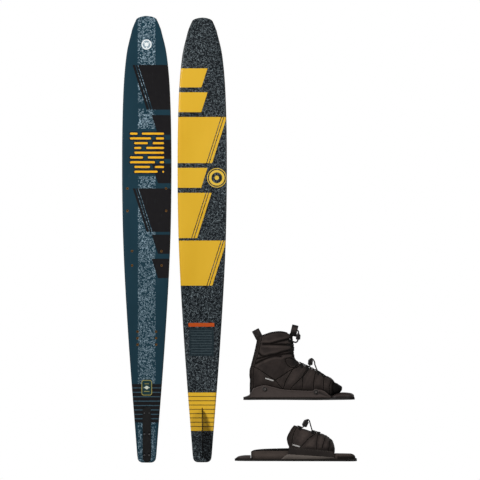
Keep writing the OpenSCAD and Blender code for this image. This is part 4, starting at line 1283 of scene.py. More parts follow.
def rail_bolt_material():
    """Black button heads with a bright ring round the socket."""
    m = Mat("rail_bolt_finish")
    x, y, z = m.xyz(m.obj)
    q = m.vec(m.sub(m.mul(x, 1000.0), BX), m.sub(m.mul(z, 1000.0), BZ), 0.0)
    ring = m.union([m.outside(m.disc(q, bx, bz, 3.7), m.disc(q, bx, bz, 2.3)) for bx, bz in BOLTS])
    n = m.noise(m.obj, 500.0, 3.0)
    col = m.mix(n, lin(12, 11, 10), lin(22, 20, 19))
    return m.set(Base_Color=m.mix(ring, col, m.mix(n, lin(120, 112, 108), lin(160, 152, 148))),
                 Metallic=m.mul(ring, 0.7), Roughness=m.span(n, 0.2, 0.8, 0.3, 0.5))


def skin_hit(tree, start, way, lift):
    """Where a ray meets the skin, lifted back along the ray."""
    hit = tree.ray_cast(Vector(start), Vector(way))[0]
    return np.array(start if hit is None else hit, float) - lift * np.array(way, float)


def onto_side(tree, x, z, lift):
    return skin_hit(tree, (x, -90.0, z), (0, 1, 0), lift)


def onto_front(tree, y, z, lift=0.0):
    return skin_hit(tree, (260.0, y, z), (-1, 0, 0), lift)


def onto_top(tree, x, y, lift=0.0):
    return skin_hit(tree, (x, y, 190.0), (0, 0, -1), lift)


TAB_PATH = [(28, 0.9), (25, 1.0), (22, 1.5), (19, 2.9), (16.5, 4.3), (14, 4.7), (12.2, 3.9), (11.8, 2.3), (13.2, 1.0),
            (16, 0.7), (19, 0.6)]   # distance from the centre line and height over the skin


def guide_tab(where, tangent, up, s):
    """A webbing tab folded round the lace. where(y) gives the skin at a distance y from the centre line."""
    path = [where(s * max(y, 13.6)) + np.array([0, s * (y - max(y, 13.6)), 0]) + np.array(up) * h for y, h in TAB_PATH]
    return ribbon(smooth_line(path, 1.2), 9.0, 1.1, tangent, rows=5)


def top_tabs(tree, places, y):
    """Pairs of tabs along the top of an instep, square to it."""
    tabs = []
    for x in places:
        d = onto_top(tree, x + 3, y) - onto_top(tree, x - 3, y)
        way = unit(np.array([d[0], 0, d[2]]))
        tabs += [guide_tab(lambda q: onto_top(tree, x, q), way, (-way[2], 0, way[0]), s) for s in (-1, 1)]
    return tabs


def lock_parts(at, tilt, size):
    """A spring cord lock: ribbed body, button and cord eyes, leaning by an angle."""
    parts = [moved(soft_box((14.0, 15.0, 17.0), 2.6, 4), (0, 0, -1.0))]
    for s in (-1, 1):
        parts += [moved(soft_box((1.2, 10.5, 1.5), 0.55, 2), (s * 7.0, 0, -5.6 + 3.2 * k)) for k in range(4)]
        parts += [moved(soft_box((8.5, 1.0, 1.4), 0.45, 2), (0, s * 7.5, -4.2 + 3.2 * k)) for k in range(3)]
        for e in (-9.4, 7.4):
            ring = [(2.5974 * math.cos(a), s * 3.6 + 2.6 * math.sin(a), e) for a in circle(16)]
            parts.append(tube(ring, 0.7, 6, closed=True, up=(0, 0, 1)))
    parts.append(tube([(0, 0, z) for z in (5.0, 7.0, 9.0, 10.0)], 4.1, 20, up=(1, 0, 0)))
    rim = [(3.6 * math.cos(a), 3.6 * math.sin(a), 10.0) for a in circle(24)]
    parts.append(tube(rim, 0.6, 6, closed=True, up=(0, 0, 1)))
    m = Matrix.Translation(Vector(at)) @ Matrix.Rotation(tilt, 4, "Y")
    return [([np.array(m @ (Vector(tuple(v)) * size)) for v in vs], fs) for vs, fs in parts]


def lace(points, r=2.3):
    """A cord through the points on one side, and back through their mirror images."""
    back = [np.array([q[0], -q[1], q[2]]) for q in points[-2::-1]]
    return tube(smooth_line(points + back, 2.0), r, 8)


def side_normals(p):
    """The normals of a path drawn in side view."""
    t = np.gradient(p, axis=0)
    return unit_rows(np.stack([t[:, 2], np.zeros(len(p)), -t[:, 0]], 1))


def ribs(path, pitch, amount):
    """The path with shallow quilting across it."""
    p = smooth_line(path, 1.5)
    d = np.concatenate([[0], np.cumsum(np.linalg.norm(np.diff(p, axis=0), axis=1))])
    return p + side_normals(p) * (amount * np.abs(np.sin(np.pi * d / pitch)))[:, None]


def padded_strip(path, half, thick, crown, cols=18):
    """A padded strip along a side-view path: crowned across, thick in the middle and thin at its edges. half gives
    half its width from the share of its length."""
    p = np.array(path, float)
    last = len(p) - 1
    rings = []
    for i, (q, n) in enumerate(zip(p, side_normals(p))):
        e = min(1.0, 0.25 + 0.75 * math.sin(math.pi * min(i, last - i, 8) / 16))
        out, back = [], []
        for k in range(cols + 1):
            f = -1 + 2 * k / cols
            body = thick / 2 * e * (1 - 0.8 * abs(f) ** 5)
            at = q + np.array([0, f * half(i / last), 0])
            out.append(at + n * (-crown * f * f + body))
            back.append(at + n * (-crown * f * f - body))
        rings.append(out + back[::-1])
    return [v for r in rings for v in r], ring_faces(len(rings), len(rings[0]))


def web_loop(base, top, half, reach=8.0, tuck=12.0):
    """A pull loop: webbing up one side, round the top and down the other. base and top are the side-view edges of the
    webbing, (x, z) pairs."""
    b0, b1, t0, t1 = (np.array([q[0], 0, q[1]], float) for q in (*base, *top))
    c0, c1 = (b0 + b1) / 2, (t0 + t1) / 2
    up = unit(c1 - c0)
    across = unit(b1 - b0) + unit(t1 - t0)
    across = unit(across - up * np.dot(across, up))
    width = (np.linalg.norm(b1 - b0) + np.linalg.norm(t1 - t0)) / 2 * 1.08
    middle = c0 + up * np.linalg.norm(c1 - c0) * 0.5
    side = [(c0 - up * tuck, 0.9), (c0, 1.0), (middle, 1.04)]
    pts = [q + np.array([0, -half * f, 0]) for q, f in side]
    pts += [c1 - up * reach + np.array([0, -half * math.cos(a), 0]) + up * reach * math.sin(a) * 0.95
            for a in np.linspace(0, math.pi, 9)]
    pts += [q + np.array([0, half * f, 0]) for q, f in side[::-1]]
    return ribbon(smooth_line(pts, 1.5), width, 2.2, across, rows=8)


# ---- dark parts of the boot: toe of the lining, gusset, tongue and its flap
TOE_RINGS = [       # x, middle height, half height, half width; the last ones turn in at the blunt front
    (322, 39, 18, 27), (330, 39.5, 22.5, 31), (337, 40, 23.5, 33.5), (341, 40, 22.6, 33), (343, 40, 20.6, 31.5),
    (345, 39.9, 20.6, 31.3), (349, 39.6, 19, 29.5), (352, 39.2, 17.2, 27.5), (353.6, 39, 15.6, 25.6),
    (355, 39, 15.4, 25.2), (358.5, 39, 13.2, 22), (361.5, 39.6, 10.4, 18), (364, 40.6, 7.6, 13.5),
    (365.6, 41.4, 5.2, 9.5), (366, 41.6, 3.6, 6.5), (364.6, 41.6, 2.8, 5), (362, 41.6, 2.2, 4)]
c, s = np.cos(circle(40)), np.sin(circle(40))
toe_liner = loft("boot_toe_sock", [np.stack([np.full(40, float(x)), w * bow(c, 0.85), mid + high * bow(s, 0.9)], 1)
                                   for x, mid, high, w in TOE_RINGS])
toe_liner.data.materials.append(NEOPRENE)
subdivide(toe_liner)
place_mm(toe_liner, BX, BZ)
finish_piece(toe_liner, "boot_foot", "lining", "boot_toe_liner")

path = ribs([(x, 0, read_off(x, VAMP) - 3.2) for x in np.linspace(203, 321, 26)], 13.0, -1.3)
o = joined("boot_gusset_mesh", [padded_strip(path, lambda f: 15.5, 4.0, -1.0)], MESH, BX, BZ)
finish_piece(o, "boot_foot", "lining", "boot_gusset")

path = ribs([(182, 0, 144), (184.5, 0, 156), (183, 0, 168), (181, 0, 182), (179.3, 0, 198), (178.5, 0, 214),
             (178.5, 0, 228), (177.5, 0, 238), (176, 0, 245)], 12.0, 1.6)
o = joined("boot_tongue_pad", [padded_strip(path, lambda f: 22.0, 7.0, 6.0)], MESH, BX, BZ)
finish_piece(o, "boot_cuff", "lining", "boot_tongue")
path = smooth_line([(176, 0, 231), (180, 0, 240), (184.5, 0, 246), (190, 0, 248), (196, 0, 247.5)])
o = joined("boot_tongue_top", [padded_strip(path, lambda f: 9.5 - 2.0 * f, 7.5, 0.6, 12)], LINING, BX, BZ)
finish_piece(o, "boot_cuff", "lining", "boot_tongue_flap")


# ---- pull loops
def border(p, a, b, w):
    """Dark along both edges of webbing of half width w whose middle runs from a to b."""
    off = ((p[:, 0] - a[0]) * (b[1] - a[1]) - (p[:, 2] - a[1]) * (b[0] - a[0])) / math.dist(a, b)
    return 0.9 * bell(np.maximum(w - np.abs(off), 0), 1.9)


def worn(p):
    return wrinkle_noise(p, (0.16, 0.05, 0.16), 1.7)


o = joined("boot_heel_pull", [web_loop([(48, 220), (73, 232)], [(33, 252), (55, 262)], 11.0)], WEB, BX, BZ)
tint(o, lambda p: np.maximum(border(p, (60.5, 226), (44, 257), 14.2),
                             0.85 * rise((p[:, 0] * -0.47 + p[:, 2] * 0.88 - 203) / 3)) - 0.28 * worn(p), BX, BZ)
finish_piece(o, "boot_cuff", "webbing", "boot_heel_loop")
o = joined("boot_tongue_pull", [web_loop([(175, 245), (197, 247)], [(182, 275), (203.5, 274)], 10.0)], WEB, BX, BZ)
tint(o, lambda p: np.maximum.reduce([border(p, (186, 246), (193, 274.5), 11.4), 0.9 * rise((p[:, 2] - 269) / 2.5),
                                     0.9 * rise((252 - p[:, 2]) / 5)])
     - 0.2 * bell(p[:, 2] - 261, 5) - 0.2 * worn(p), BX, BZ)
finish_piece(o, "boot_cuff", "webbing", "boot_tongue_loop")

# ---- lace guides and laces over the instep
OPENING = 14.5      # where the skin's edge is, on both sides of the opening under the laces
o = joined("boot_lower_guide_tabs", top_tabs(skin, (216, 237, 277, 293), 17), GUIDE, BX, BZ)
finish_piece(o, "boot_foot", "webbing", "boot_lower_lace_guides")
tabs = [guide_tab(lambda y: onto_front(skin, y, z), (0, 0, 1), (1, 0, 0), s) for z in (184, 200, 216) for s in (-1, 1)]
o = joined("boot_upper_guide_tabs", tabs, GUIDE, BX, BZ)
finish_piece(o, "boot_cuff", "webbing", "boot_upper_lace_guides")


def spanning(onto, y):
    """The point at y: over the opening it's as high as the skin's edge. onto(y) gives the skin."""
    edge = math.copysign(max(abs(y), OPENING), y)
    return onto(edge) + np.array([0, y - edge, 0])


def on_top(tree, *places):
    """Points over an instep from their x, y and height over the skin."""
    return [spanning(lambda e: onto_top(tree, x, e, lift), y) for x, y, lift in places]


def on_shin(*places):
    """Points in front of the shin from their y, z and distance from the skin."""
    return [spanning(lambda e: onto_front(skin, e, z, lift), y) for y, z, lift in places]


def in_air(*places):
    return [np.array(q, float) for q in places]


def through(lock, *places):
    """Points in a lock's eyes, from their height along the lock and their y."""
    at, tilt = lock[:2]
    return [np.array([at[0] + h * math.sin(tilt), y, at[2] + h * math.cos(tilt)]) for h, y in places]


# each lock's place, tilt and size
LOW_LOCK = ((248.5, 0.0, 138.5), math.radians(8), 1.22)
HIGH_LOCK = ((203.0, 0.0, 232.0), math.radians(4), 1.15)
TOE_LOCK = ((262.0, 0.0, 138.0), math.radians(26), 1.36)

rear = through(LOW_LOCK, (-2, 3.4), (-13, 3.6)) + on_top(
    skin, (243, 8, 4.4), (239, 13.5, 3.6), (235, 13.8, 3.0), (228, 5, 3.4), (221, -8, 3.0), (217, -13.8, 3.0),
    (214, -13.5, 3.0), (212.5, -7, 3.2), (212.2, 0.001, 3.4))
front = through(LOW_LOCK, (2, 3.4), (11, 3.8)) + in_air(
    (253.5, 4.5, 151.0), (259, 5.5, 146.5), (263.5, 6.5, 138.5), (264.5, 8.0, 130), (268, 11.0, 120.5)) + on_top(
    skin, (274.5, 13.6, 3.2), (280, 13.0, 3.0), (284, 4, 3.4), (289, -8, 3.2), (292, -13.6, 3.0), (295, -13.2, 3.0),
    (297, -6, 3.2), (297.3, 0.001, 3.3))
o = joined("boot_lower_lace_cord", [lace(rear), lace(front)], CORD, BX, BZ)
finish_piece(o, "boot_foot", "lace", "boot_lower_lace")

shin = in_air((195, 0.001, 253.0), (199, 2.2, 255.5), (203.5, 3.6, 252)) + through(
    HIGH_LOCK, (13, 3.8), (2, 3.4), (-11, 3.8)) + in_air((199, 5.5, 214), (193, 9.5, 211)) + on_shin(
    (13.5, 215, 4.2), (13.0, 212, 4.4), (3, 208, 8.6), (-9, 203, 6.4), (-13.6, 200, 4.0), (-13.0, 197, 4.2),
    (-3, 192, 8.6), (9, 187, 6.4), (13.6, 184, 4.0), (13.0, 181, 4.2), (6, 179.5, 6.4), (0.001, 179.2, 7.4))
o = joined("boot_upper_lace_cord", [lace(shin, 2.6)], CORD, BX, BZ)
finish_piece(o, "boot_cuff", "lace", "boot_upper_lace")

for level, lock in (("lower", LOW_LOCK), ("upper", HIGH_LOCK)):
    o = joined("boot_%s_cord_lock" % level, lock_parts(*lock), LOCK, BX, BZ)
    finish_piece(o, "boot_%s_lace_lock" % level, "lock", "boot_%s_lace_lock" % level)
    set_smooth(o, 45)

# ---- tag, rails, heel bridge and riser
TAG_HIGH = 5.2      # the width of both tags' tape
c, s = math.cos(math.radians(-18)), math.sin(math.radians(-18))
path = np.array([onto_side(skin, 96 + c * f, 75 + s * f, 0.7) for f in np.linspace(-16, 16, 17)])
path[:, 1] = np.convolve(np.pad(path[:, 1], 3, mode="edge"), np.ones(7) / 7, mode="valid")
o = joined("boot_blank_tag", [ribbon(path, TAG_HIGH, 1.0, (-s, 0, c), rows=5)], TAG, BX, BZ)
finish_piece(o, "boot_foot", "tag", "boot_tag")

rail_top = smooth_line(RAIL_TOP, 3.0)
rail_outline = fine_outline([tuple(q) for q in rail_top] + [(327, 7.0)], 6.0)


def rail_room(x, z):
    """How far the rail's rim may draw in: little at its thin ends."""
    thin = min(328 - x, along(x, rail_top) - 7) if x > 250 or x < 60 else 30
    return max(0.4, 0.3 * thin)


def rail_shade(p):
    round_bolts = [0.88 * bell(np.maximum(np.hypot(p[:, 0] - x, p[:, 2] - z) - 7.0, 0), 2.2) for x, z in BOLTS]
    return np.maximum.reduce([0.55 * bell(p[:, 2] - 7.5, 2.5), 0.30 * rise((44 - p[:, 0]) / 30)] + round_bolts)


def on_side(parts, s):
    """The parts as drawn on the outer side for s = -1, or mirrored to the inner side for 1."""
    return [([(v[0], v[1] * -s, v[2]) for v in vs], fs) for vs, fs in parts]


SIDES = ((-1, "outer"), (1, "inner"))
for s, name in SIDES:
    parts = [round_slab(rail_outline, -50.6, -46.2, 1.3, 4, dish=0.9, dish_in=5.0, room=rail_room)]
    for x, z in BOLTS:
        boss = [(x + 11.5 * math.cos(a), max(z + 11.5 * math.sin(a), 8.4)) for a in circle(32)]
        parts.append(round_slab(fine_outline(boss, 4), -50.7, -48.0, 0.8, 3))
        parts.append(moved(soft_box((16, 10.4, 3.0), 0.8, 3), (x + 14, -41.2, 8.5)))
    o = joined("boot_%s_rail_moulding" % name, on_side(parts, s), RAIL, BX, BZ)
    set_smooth(o, 38)
    tint(o, rail_shade, BX, BZ)
    finish_piece(o, "boot_foot", "rail", "boot_%s_rail" % name)

bridge = smooth_line([(3, 7.2), (10, 9.8), (17, 12), (21.5, 15), (24.5, 21), (26, 30)], 2.0)
outline = fine_outline([tuple(q) for q in bridge] + [(29.5, 30), (29.5, 7.2)])
o = joined("boot_heel_bridge_moulding", [round_slab(outline, -44.8, 44.8, 0.8, 3)], RISER, BX, BZ)
set_smooth(o, 40)
finish_piece(o, "boot_foot", "plate", "boot_heel_bridge")

PLATE_TOP = 7.2     # where what stands on either plate begins
RISER_TOP = [(328, 13), (334, 17), (341, 20), (350, 22.6), (358, 24.4), (366, 25.2), (374, 25.2), (389, 24.2),
             (400, 22.4), (406, 20), (409, 17), (410.5, 11)]
RISER_W = [(328, 38), (340, 43.5), (352, 43), (380, 39), (402, 26), (410, 8)]
a = np.linspace(0, math.pi, 25)
rings = []
for x in np.concatenate([[328, 328.6], np.linspace(331, 400, 22), [403, 405.5, 407.5, 409, 410, 410.5]]):
    w = read_off(x, RISER_W)
    z = PLATE_TOP + max(read_off(x, RISER_TOP) - PLATE_TOP, 0.4) * np.sin(a) ** 0.42
    ring = [(x, yy, zz) for yy, zz in zip(w * bow(np.cos(a), 0.42), z)]
    rings.append(np.array(ring + [(x, yy, PLATE_TOP) for yy in np.linspace(-w, w, 9)[1:-1]]))


def plastic_piece(o, mat, angle, x, z):
    """Material, sharp edges and place for a moulded form."""
    o.data.materials.append(mat)
    set_smooth(o, angle)
    return place_mm(o, x, z)


riser = plastic_piece(loft("boot_toe_riser_moulding", rings), RISER, 50, BX, BZ)
tint(riser, lambda p: np.maximum(0.75 * bell(p[:, 2] - 8, 2.6), 0.5 * bell(p[:, 0] - 409.5, 2.0)) - 0.10, BX, BZ)
finish_piece(riser, "boot_foot", "plate", "boot_toe_riser")
paint("boot_plate", PLATE)
paint("boot_footbed", PAD_FOAM)
paint("boot_rail_bolts", rail_bolt_material())
paint("boot_rail_screws", STEEL)

# ------------------------------------------------------------------ the toe plate

TX, TZ = (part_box("toe_plate")[0][k] / MM for k in (0, 2))
HOOD_TOP = [(180, 140), (204, 136), (220, 131), (232, 128), (262, 117), (300, 106), (330, 97), (352, 84), (364, 70),
            (370.5, 48)]
HOOD_W = [(180, 46.5), (262, 46.5), (300, 46), (325, 44), (345, 38), (360, 27), (368, 15), (371, 4)]
REAR = [(205, 8), (203.5, 44), (195, 64), (193.5, 84), (206, 110), (221, 132)]


def hood_arch(w, side, top, n=40):
    """The round upper part of a hood section, from one side to the other: its y and z."""
    a = np.linspace(0, math.pi, n)
    return w * bow(np.cos(a), 2 / 2.2), side + (top - side) * np.sin(a) ** (2 / 2.15)


def hood_ring(x, inset=0.0, foot=12.0):
    """An upright section of the hood, drawn in by inset and open down to foot."""
    w, top = max(curve1(x, HOOD_W) - inset, 0.6), curve1(x, HOOD_TOP) - inset
    side = min(52.0, foot + 0.5 * (top - foot))
    y, z = hood_arch(w, side, top)
    down = np.linspace(side, foot, 6)[1:]
    ring = [(x, yy, zz) for yy, zz in zip(y, z)] + [(x, -w, q) for q in down]
    ring += [(x, yy, foot) for yy in np.linspace(-w, w, 12)[1:-1]] + [(x, w, q) for q in down[::-1]]
    return np.array(ring, float)


hood = loft("hood", [hood_ring(x) for x in np.concatenate([np.linspace(184, 340, 46), np.linspace(344, 370.6, 14)])])
rear_line = smooth_line(REAR, 3.0)
behind_cut = slab("behind", [tuple(q) for q in rear_line] + [(221, 180), (150, 180), (150, 0), (205, 0)], -70, 70)
hollow = loft("hollow", [hood_ring(x, 8.5, foot=-10.0) for x in np.linspace(150, 362, 40)])
bed_room = slab("bed_room", [(190, 0), (190, 39), (280, 32), (380, 26), (380, 0)], -42.4, 42.4)
cut(hood, [behind_cut, hollow, bed_room])
voxel(hood, 2.8, 5)

H_SEAMS = [smooth_line(q) for q in (
    [(222, 30), (213, 62), (213, 84), (222, 112), (238, 132)],
    [(232, 36), (241, 48.5), (258, 67.5), (279, 88), (303, 103), (312, 112)],
    [(312, 112), (307, 92), (303, 70), (303, 34)],
    [(338, 100), (331, 75), (324, 52), (322, 32)],
    [(356, 92), (350, 64), (347, 30)])]
H_ROLL = smooth_line([(214, 30), (202, 63), (201, 84), (213, 109), (229, 133)])


def hood_inside(q):
    """Which points are on the inside of the hood."""
    x = np.clip(q[:, 0], 180, 371)
    w, top = curve1(x, HOOD_W), curve1(x, HOOD_TOP)
    up = np.clip((q[:, 2] - 52) / np.maximum(top - 52, 6), 0, 2)
    v = (np.abs(q[:, 1] / np.maximum(w, 1)) ** 2.2 + up ** 2.15) ** (1 / 2.2)
    return (v < 0.89) & (q[:, 0] < 364)


p = coords(hood)
pins = np.maximum.reduce([ramp(seam_field(p[:, [0, 2]], H_SEAMS)[0], 1.5, 4.0), ramp(p[:, 2], 30, 44),
                          0.85 * hood_inside(p)])
inflate(hood, rise(pins), pressure=5.0, cap=3.0)
subdivide(hood)

p = coords(hood)
px, py, pz = p.T
within = hood_inside(p)
d_seam, s_seam, side = seam_field(p[:, [0, 2]], H_SEAMS)
d_roll = seam_field(p[:, [0, 2]], [H_ROLL])[0]
opening = (np.abs(py) < 14) & (px > 232) & (px < 321) & (pz > 84)
edge = rise((OPENING - np.abs(py)) / 2.0) * rise((px - 231) / 3) * rise((322 - px) / 3) * (pz > 84)
h = (-1.0 * bell(d_seam, 1.5) + 0.5 * bell(d_seam - 2.0, 1.2) * (side > 0) - 0.8 * bell(d_roll, 2.0) - 2.0 * edge
     + 0.6 * wrinkle_noise(p, (0.05, 0.03, 0.05), 2.7)
     + 0.8 * wrinkle_noise(lean(p, 0.6), (0.10, 0.02, 0.015), 7.7))
h *= (1.0 - within) * rise((pz - 30) / 12)
put_coords(hood, p + vertex_normals(hood) * h[:, None])
attribute(hood, "seam_d", np.where(within | opening, 50.0, d_seam))
attribute(hood, "seam_s", s_seam)
puff = rise((np.minimum(d_seam, d_roll) - 4) / 12) * rise((pz - 48) / 12)
under_top = curve1(np.clip(px, 180, 371), HOOD_TOP) - pz
from_rear = px - along(pz, [q[::-1] for q in REAR])
dark = np.maximum.reduce([
    0.62 * bell(d_seam, 2.4), 0.40 * bell(d_roll, 2.4), 0.75 * bell(np.maximum(from_rear, 0), 3.0),
    0.38 * rise(1 - from_rear / 26), 0.45 * bell(np.maximum(under_top, 0), 7.0), 0.6 * rise((px - 362) / 7),
    0.45 * rise((52 - pz) / 8)])
glow = 0.30 * puff * (1 - dark) * np.clip((px - 225) / 30, 0.2, 1)
shade = np.clip(dark - glow - 0.10 * wrinkle_noise(p, (0.12, 0.03, 0.12), 3.3), -0.45, 0.92)
attribute(hood, "shade", np.where(within, 0.0, shade))
attribute(hood, "zone", np.maximum(np.where(opening, 0.75, 0.0), within * 1.0))
hood_skin = cover(hood, p, hood_inside)
place_mm(hood, TX, TZ)
hood.name = "toe_hood_upper"
finish_piece(hood, "toe_plate", "upper", "toe_hood")

# the padded lining, with a soft lip at the rear
LIP_X, DEEP_X = 212, 352
rings = []
for t in np.linspace(0, 1, 26):
    x = LIP_X + t * (DEEP_X - LIP_X)
    fat = 1.6 * math.sqrt(max(0, 1 - (1 - min(t / 0.05, 1)) ** 2)) + 0.25
    ring = []
    for inset, turn in ((9.6 - fat, 1), (9.6 + fat, -1)):
        w = curve1(x, HOOD_W) - inset
        y, z = hood_arch(w, 50, curve1(x, HOOD_TOP) - inset)
        line = [(w, q) for q in (40, 42, 46)] + list(zip(y, z)) + [(-w, q) for q in (46, 42, 40)]
        ring += [(x + (1 - t) * (along(q, rear_line[:, ::-1]) + 2.5 - LIP_X), u, q) for u, q in line][::turn]
    rings.append(np.array(ring))
o = loft("toe_hood_lining", rings)
o.data.materials.append(NEOPRENE)
place_mm(o, TX, TZ)
finish_piece(o, "toe_plate", "lining", "toe_hood_liner")

# ---- flanges and their fabric bands
wedge = fine_outline([(171, 7.2), (178, 13.5), (194, 25.5), (230, 23.5), (300, 18.8), (364, 14.8), (376, 7.2)], 5.0)
top_edge = smooth_line([(203, 54.5), (214, 50), (260, 46), (330, 40), (366, 34)], 4.0)
band = fine_outline([(194.6, 23.0)] + [tuple(q) for q in top_edge] + [(366, 14.5), (300, 17.6), (230, 21.8)], 5.0)
THREAD = webbing_material("band_thread", lin(70, 63, 59), lin(96, 88, 82))
stitches = []
for off in (2.4, 5.0):
    row = smooth_line([(206, 53.5 - off), (214, 50 - off), (260, 46 - off), (330, 40 - off), (362, 34.6 - off)], 1.2)
    stitches += [[(q[0], q[1]) for q in row[i:i + 4]] for i in range(0, len(row) - 3, 5)]
for s, name in SIDES:
    flange = round_slab(wedge, -50.3, -46.9, 0.9, 3)
    o = joined("toe_%s_flange_moulding" % name, on_side([flange], s), FLANGE, TX, TZ)
    set_smooth(o, 38)
    tint(o, lambda p: 0.55 * rise((p[:, 0] - 300) / 70) + 0.5 * bell(p[:, 2] - 7.5, 3.0)
         - 0.12 * bell(p[:, 0] - 230, 30), TX, TZ)
    finish_piece(o, "toe_plate", "rail", "toe_hood_%s_flange" % name)
    o = joined("toe_%s_flange_band" % name, on_side([round_slab(band, -48.7, -45.6, 0.8, 3)], s), BAND, TX, TZ)
    set_smooth(o, 38)
    finish_piece(o, "toe_plate", "band")
    threads = [tube([(x, s * 48.75, z) for x, z in stitch], 0.42, 6) for stitch in stitches]
    o = joined("toe_%s_band_stitches" % name, threads, THREAD, TX, TZ)
    finish_piece(o, "toe_plate", "band")

# ---- bed, heel pad and tail lip
BED_TOP = [(60, 32.5), (76, 36.5), (120, 39), (200, 38), (280, 31), (370, 25), (430, 24.5), (443, 20), (447, 13)]
BED_W = [(60, 22), (67, 29), (80, 38), (150, 41), (240, 41.8), (320, 41.8), (380, 40), (430, 30), (444, 12), (447, 5)]
PAD_W = [(64, 20), (69, 27), (82, 36), (150, 40.4), (184, 40.4), (195, 37.5), (204, 36.5)]
LIP_TOP = [(4, 8.4), (6, 10), (14, 14.5), (28, 17), (40, 18), (59, 18)]
LIP_W = [(4, 13), (8, 20), (15, 29), (30, 34), (59, 38)]


def block_ring(x, top, bottom, w, rim, n=6):
    """A section with upright sides, a flat foot and rounded shoulders."""
    rim = min(rim, w * 0.8, (top - bottom) * 0.8)
    right = [(w, bottom), (w, bottom + (top - rim - bottom) * 0.5)]
    quarter = [math.pi / 2 * k / n for k in range(n + 1)]
    right += [(w - rim + rim * math.cos(a), top - rim + rim * math.sin(a)) for a in quarter]
    right += [((w - rim) * f, top) for f in (0.6, 0.2)]
    left = [(-y, z) for y, z in right[::-1]]
    foot = [(f * w, bottom) for f in (-0.5, 0, 0.5)]
    return np.array([(x, y, z) for y, z in right + left + foot], float)


def plate_block(name, xs, top, w, rim):
    return loft(name, [block_ring(x, read_off(x, top), PLATE_TOP, read_off(x, w), rim) for x in xs])


def bore(o, z0, x=156, y=34.3, r=5.5):
    """Takes the two screw holes out of a piece of the toe plate, from z0 up."""
    for s in (-1, 1):
        ring = [(x + r * math.cos(a), s * y + r * math.sin(a)) for a in circle(24)]
        cut(o, [loft("hole", [np.array([(*q, z) for q in ring]) for z in (z0, 60.0)])])
    tidy(o, 1e-4)


xs = np.concatenate([[60.3, 61, 62.5, 65], np.linspace(69, 430, 60), [434, 438, 441, 443.5, 445.5, 446.8]])
bed = plate_block("toe_bed_moulding", xs, BED_TOP, BED_W, 2.6)
bore(bed, 0.0)
plastic_piece(bed, FOAM, 42, TX, TZ)
tint(bed, lambda p: np.maximum.reduce([
    0.6 * bell(p[:, 2] - 7.5, 5.0), 0.45 * bell(p[:, 0] - 62, 7.0), 0.35 * rise((p[:, 2] - 33) / 5),
    0.85 * rise((p[:, 0] - 374) / 5) * rise((19 - p[:, 2]) / 3)])
     - 0.16 * bell(p[:, 0] - 120, 60) * bell(p[:, 2] - 25, 9), TX, TZ)
finish_piece(bed, "toe_plate", "bed", "toe_plate_footbed")

rings = []
for x in np.concatenate([[64.5, 65.2, 66.5], np.linspace(69, 198, 26), [201, 202.8, 203.8]]):
    z = read_off(x, BED_TOP)
    thick = float(np.interp(x, [64, 120, 204], [1.6, 2.6, 5.8]) * np.clip(min(x - 62, 205.5 - x) / 5, 0.2, 1) ** 0.5)
    rings.append(block_ring(x, z + thick, z - 0.9, read_off(x, PAD_W), 2.0))
pad = loft("toe_heel_pad_foam", rings)
bore(pad, 20.0)
plastic_piece(pad, NEOPRENE, 45, TX, TZ)
finish_piece(pad, "toe_plate", "foam", "toe_plate_heel_pad")
lip = plate_block("toe_tail_lip_moulding", np.concatenate([[4.2, 5, 6.5], np.linspace(9, 57, 18), [58.4, 59.2]]),
                  LIP_TOP, LIP_W, 2.4)
plastic_piece(lip, RISER, 45, TX, TZ)
tint(lip, lambda p: 0.5 * bell(p[:, 2] - 7.5, 3.0) + 0.35 * bell(p[:, 0] - 6, 5.0) - 0.15, TX, TZ)
finish_piece(lip, "toe_plate", "plate", "toe_tail_lip")

# ---- guides, lace, lock and tag
o = joined("toe_guide_tabs", top_tabs(hood_skin, (240, 288, 312), 19), GUIDE, TX, TZ)
finish_piece(o, "toe_plate", "webbing", "toe_lace_guides")
rear = through(TOE_LOCK, (-2, 3.4), (-12, 3.8)) + on_top(
    hood_skin, (250, 8, 4.6), (243, 13.4, 3.4), (239, 13.8, 3.0), (236, 12.5, 3.0), (234.5, 6, 3.6),
    (234.2, 0.001, 3.8))
front = through(TOE_LOCK, (2, 3.4), (12, 3.8)) + in_air(
    (271, 5.0, 151.5), (276, 6.5, 147.5), (279, 8.0, 138), (282.5, 11.0, 125)) + on_top(
    hood_skin, (287.5, 13.6, 3.2), (291, 13.0, 3.0), (297, 5, 3.6), (305, -8, 3.4), (311, -13.6, 3.0),
    (314, -13.2, 3.0), (316, -6, 3.4), (316.3, 0.001, 3.6))
o = joined("toe_lace_cord", [lace(rear), lace(front)], CORD, TX, TZ)
finish_piece(o, "toe_plate", "lace", "toe_lace")
o = joined("toe_cord_lock", lock_parts(*TOE_LOCK), LOCK, TX, TZ)
finish_piece(o, "toe_lace_lock", "lock", "toe_lace_lock")
set_smooth(o, 45)
c, s = math.cos(math.radians(-16)), math.sin(math.radians(-16))
path = [(227 + c * f, -47.6, 57 + s * f) for f in np.linspace(-14, 14, 12)]
o = joined("toe_blank_tag", [ribbon(path, TAG_HIGH, 1.4, (-s, 0, c), rows=5)], TAG, TX, TZ)
finish_piece(o, "toe_plate", "tag", "toe_tag")
paint("toe_plate", PLATE)

# ------------------------------------------------------------------ stage, light and camera

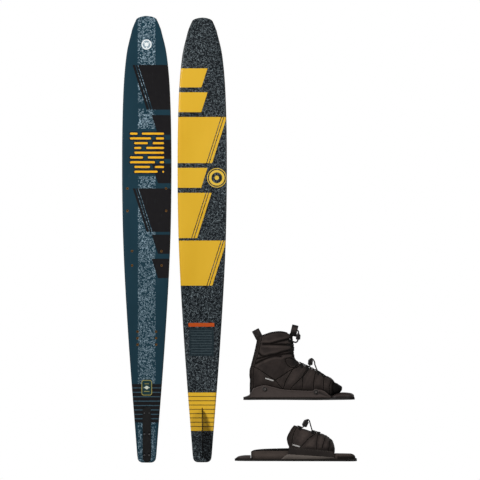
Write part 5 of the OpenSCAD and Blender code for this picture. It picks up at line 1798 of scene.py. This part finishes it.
def two_faced(tree, output, seen, cast):
    """Shows one shader to the camera and another to the light; each is its kind, its colour and its strength."""
    tree.nodes.clear()
    mix = tree.nodes.new("ShaderNodeMixShader")
    path = tree.nodes.new("ShaderNodeLightPath")
    tree.links.new(path.outputs["Is Camera Ray"], mix.inputs[0])
    for k, (kind, colour, strength) in enumerate((cast, seen), 1):
        n = tree.nodes.new("ShaderNode" + kind)
        n.inputs[0].default_value = (*colour, 1)
        if strength is not None:
            n.inputs[1].default_value = strength
        tree.links.new(n.outputs[0], mix.inputs[k])
    tree.links.new(mix.outputs[0], tree.nodes.new(output).inputs[0])


FLOOR_AT, FLOOR_HALF = -0.0015, 9
white = bpy.data.materials.new("studio_white")
white.use_nodes = True
two_faced(white.node_tree, "ShaderNodeOutputMaterial", ("Emission", (1, 1, 1), 1.0), ("BsdfDiffuse", (0.2,) * 3, None))
corners = [(x * FLOOR_HALF, y * FLOOR_HALF, FLOOR_AT) for x, y in ((-1, -1), (1, -1), (1, 1), (-1, 1))]
mesh_object("studio_floor", corners, [(0, 1, 2, 3)], white, smooth=False)

world = bpy.data.worlds.new("studio")
scene.world = world
world.use_nodes = True
two_faced(world.node_tree, "ShaderNodeOutputWorld", ("Background", (1, 1, 1), 1.0),
          ("Background", (0.95, 0.97, 1.0), 0.08))


def softbox(name, where, aim, size, power):
    light = bpy.data.lights.new(name, "AREA")
    light.shape = "RECTANGLE"
    light.size, light.size_y = size
    light.energy = power
    o = add_object(name, light)
    o.location = where
    o.rotation_mode = "QUATERNION"
    o.rotation_quaternion = (Vector(aim) - Vector(where)).to_track_quat("-Z", "Y")


softbox("key_front", (-2.9, -4.3, 2.9), (-0.1, 0, 0.8), (1.0, 1.4), 250)
softbox("fill_right", (3.4, -3.2, 1.4), (0, 0, 0.8), (0.8, 2.0), 60)
softbox("back_left", (-2.8, 3.6, 2.4), (0, 0, 0.8), (1.6, 2.2), 60)
softbox("back_right", (3.0, 3.4, 2.0), (0, 0, 0.8), (1.6, 2.2), 56)

SEEN_WIDTH = 1.77792    # metres across the picture at the object
SENSOR, LENS = 36, 300
view = bpy.data.cameras.new("view")
view.lens, view.sensor_width, view.clip_end = LENS, SENSOR, 60
distance = SEEN_WIDTH / 2 / math.tan(math.atan(SENSOR / 2 / LENS))
scene.camera = add_object("view", view)
scene.camera.location = (0.002, -distance, 0.8241)
scene.camera.rotation_euler = (math.pi / 2, 0, 0)
scene.view_settings.view_transform = "Standard"
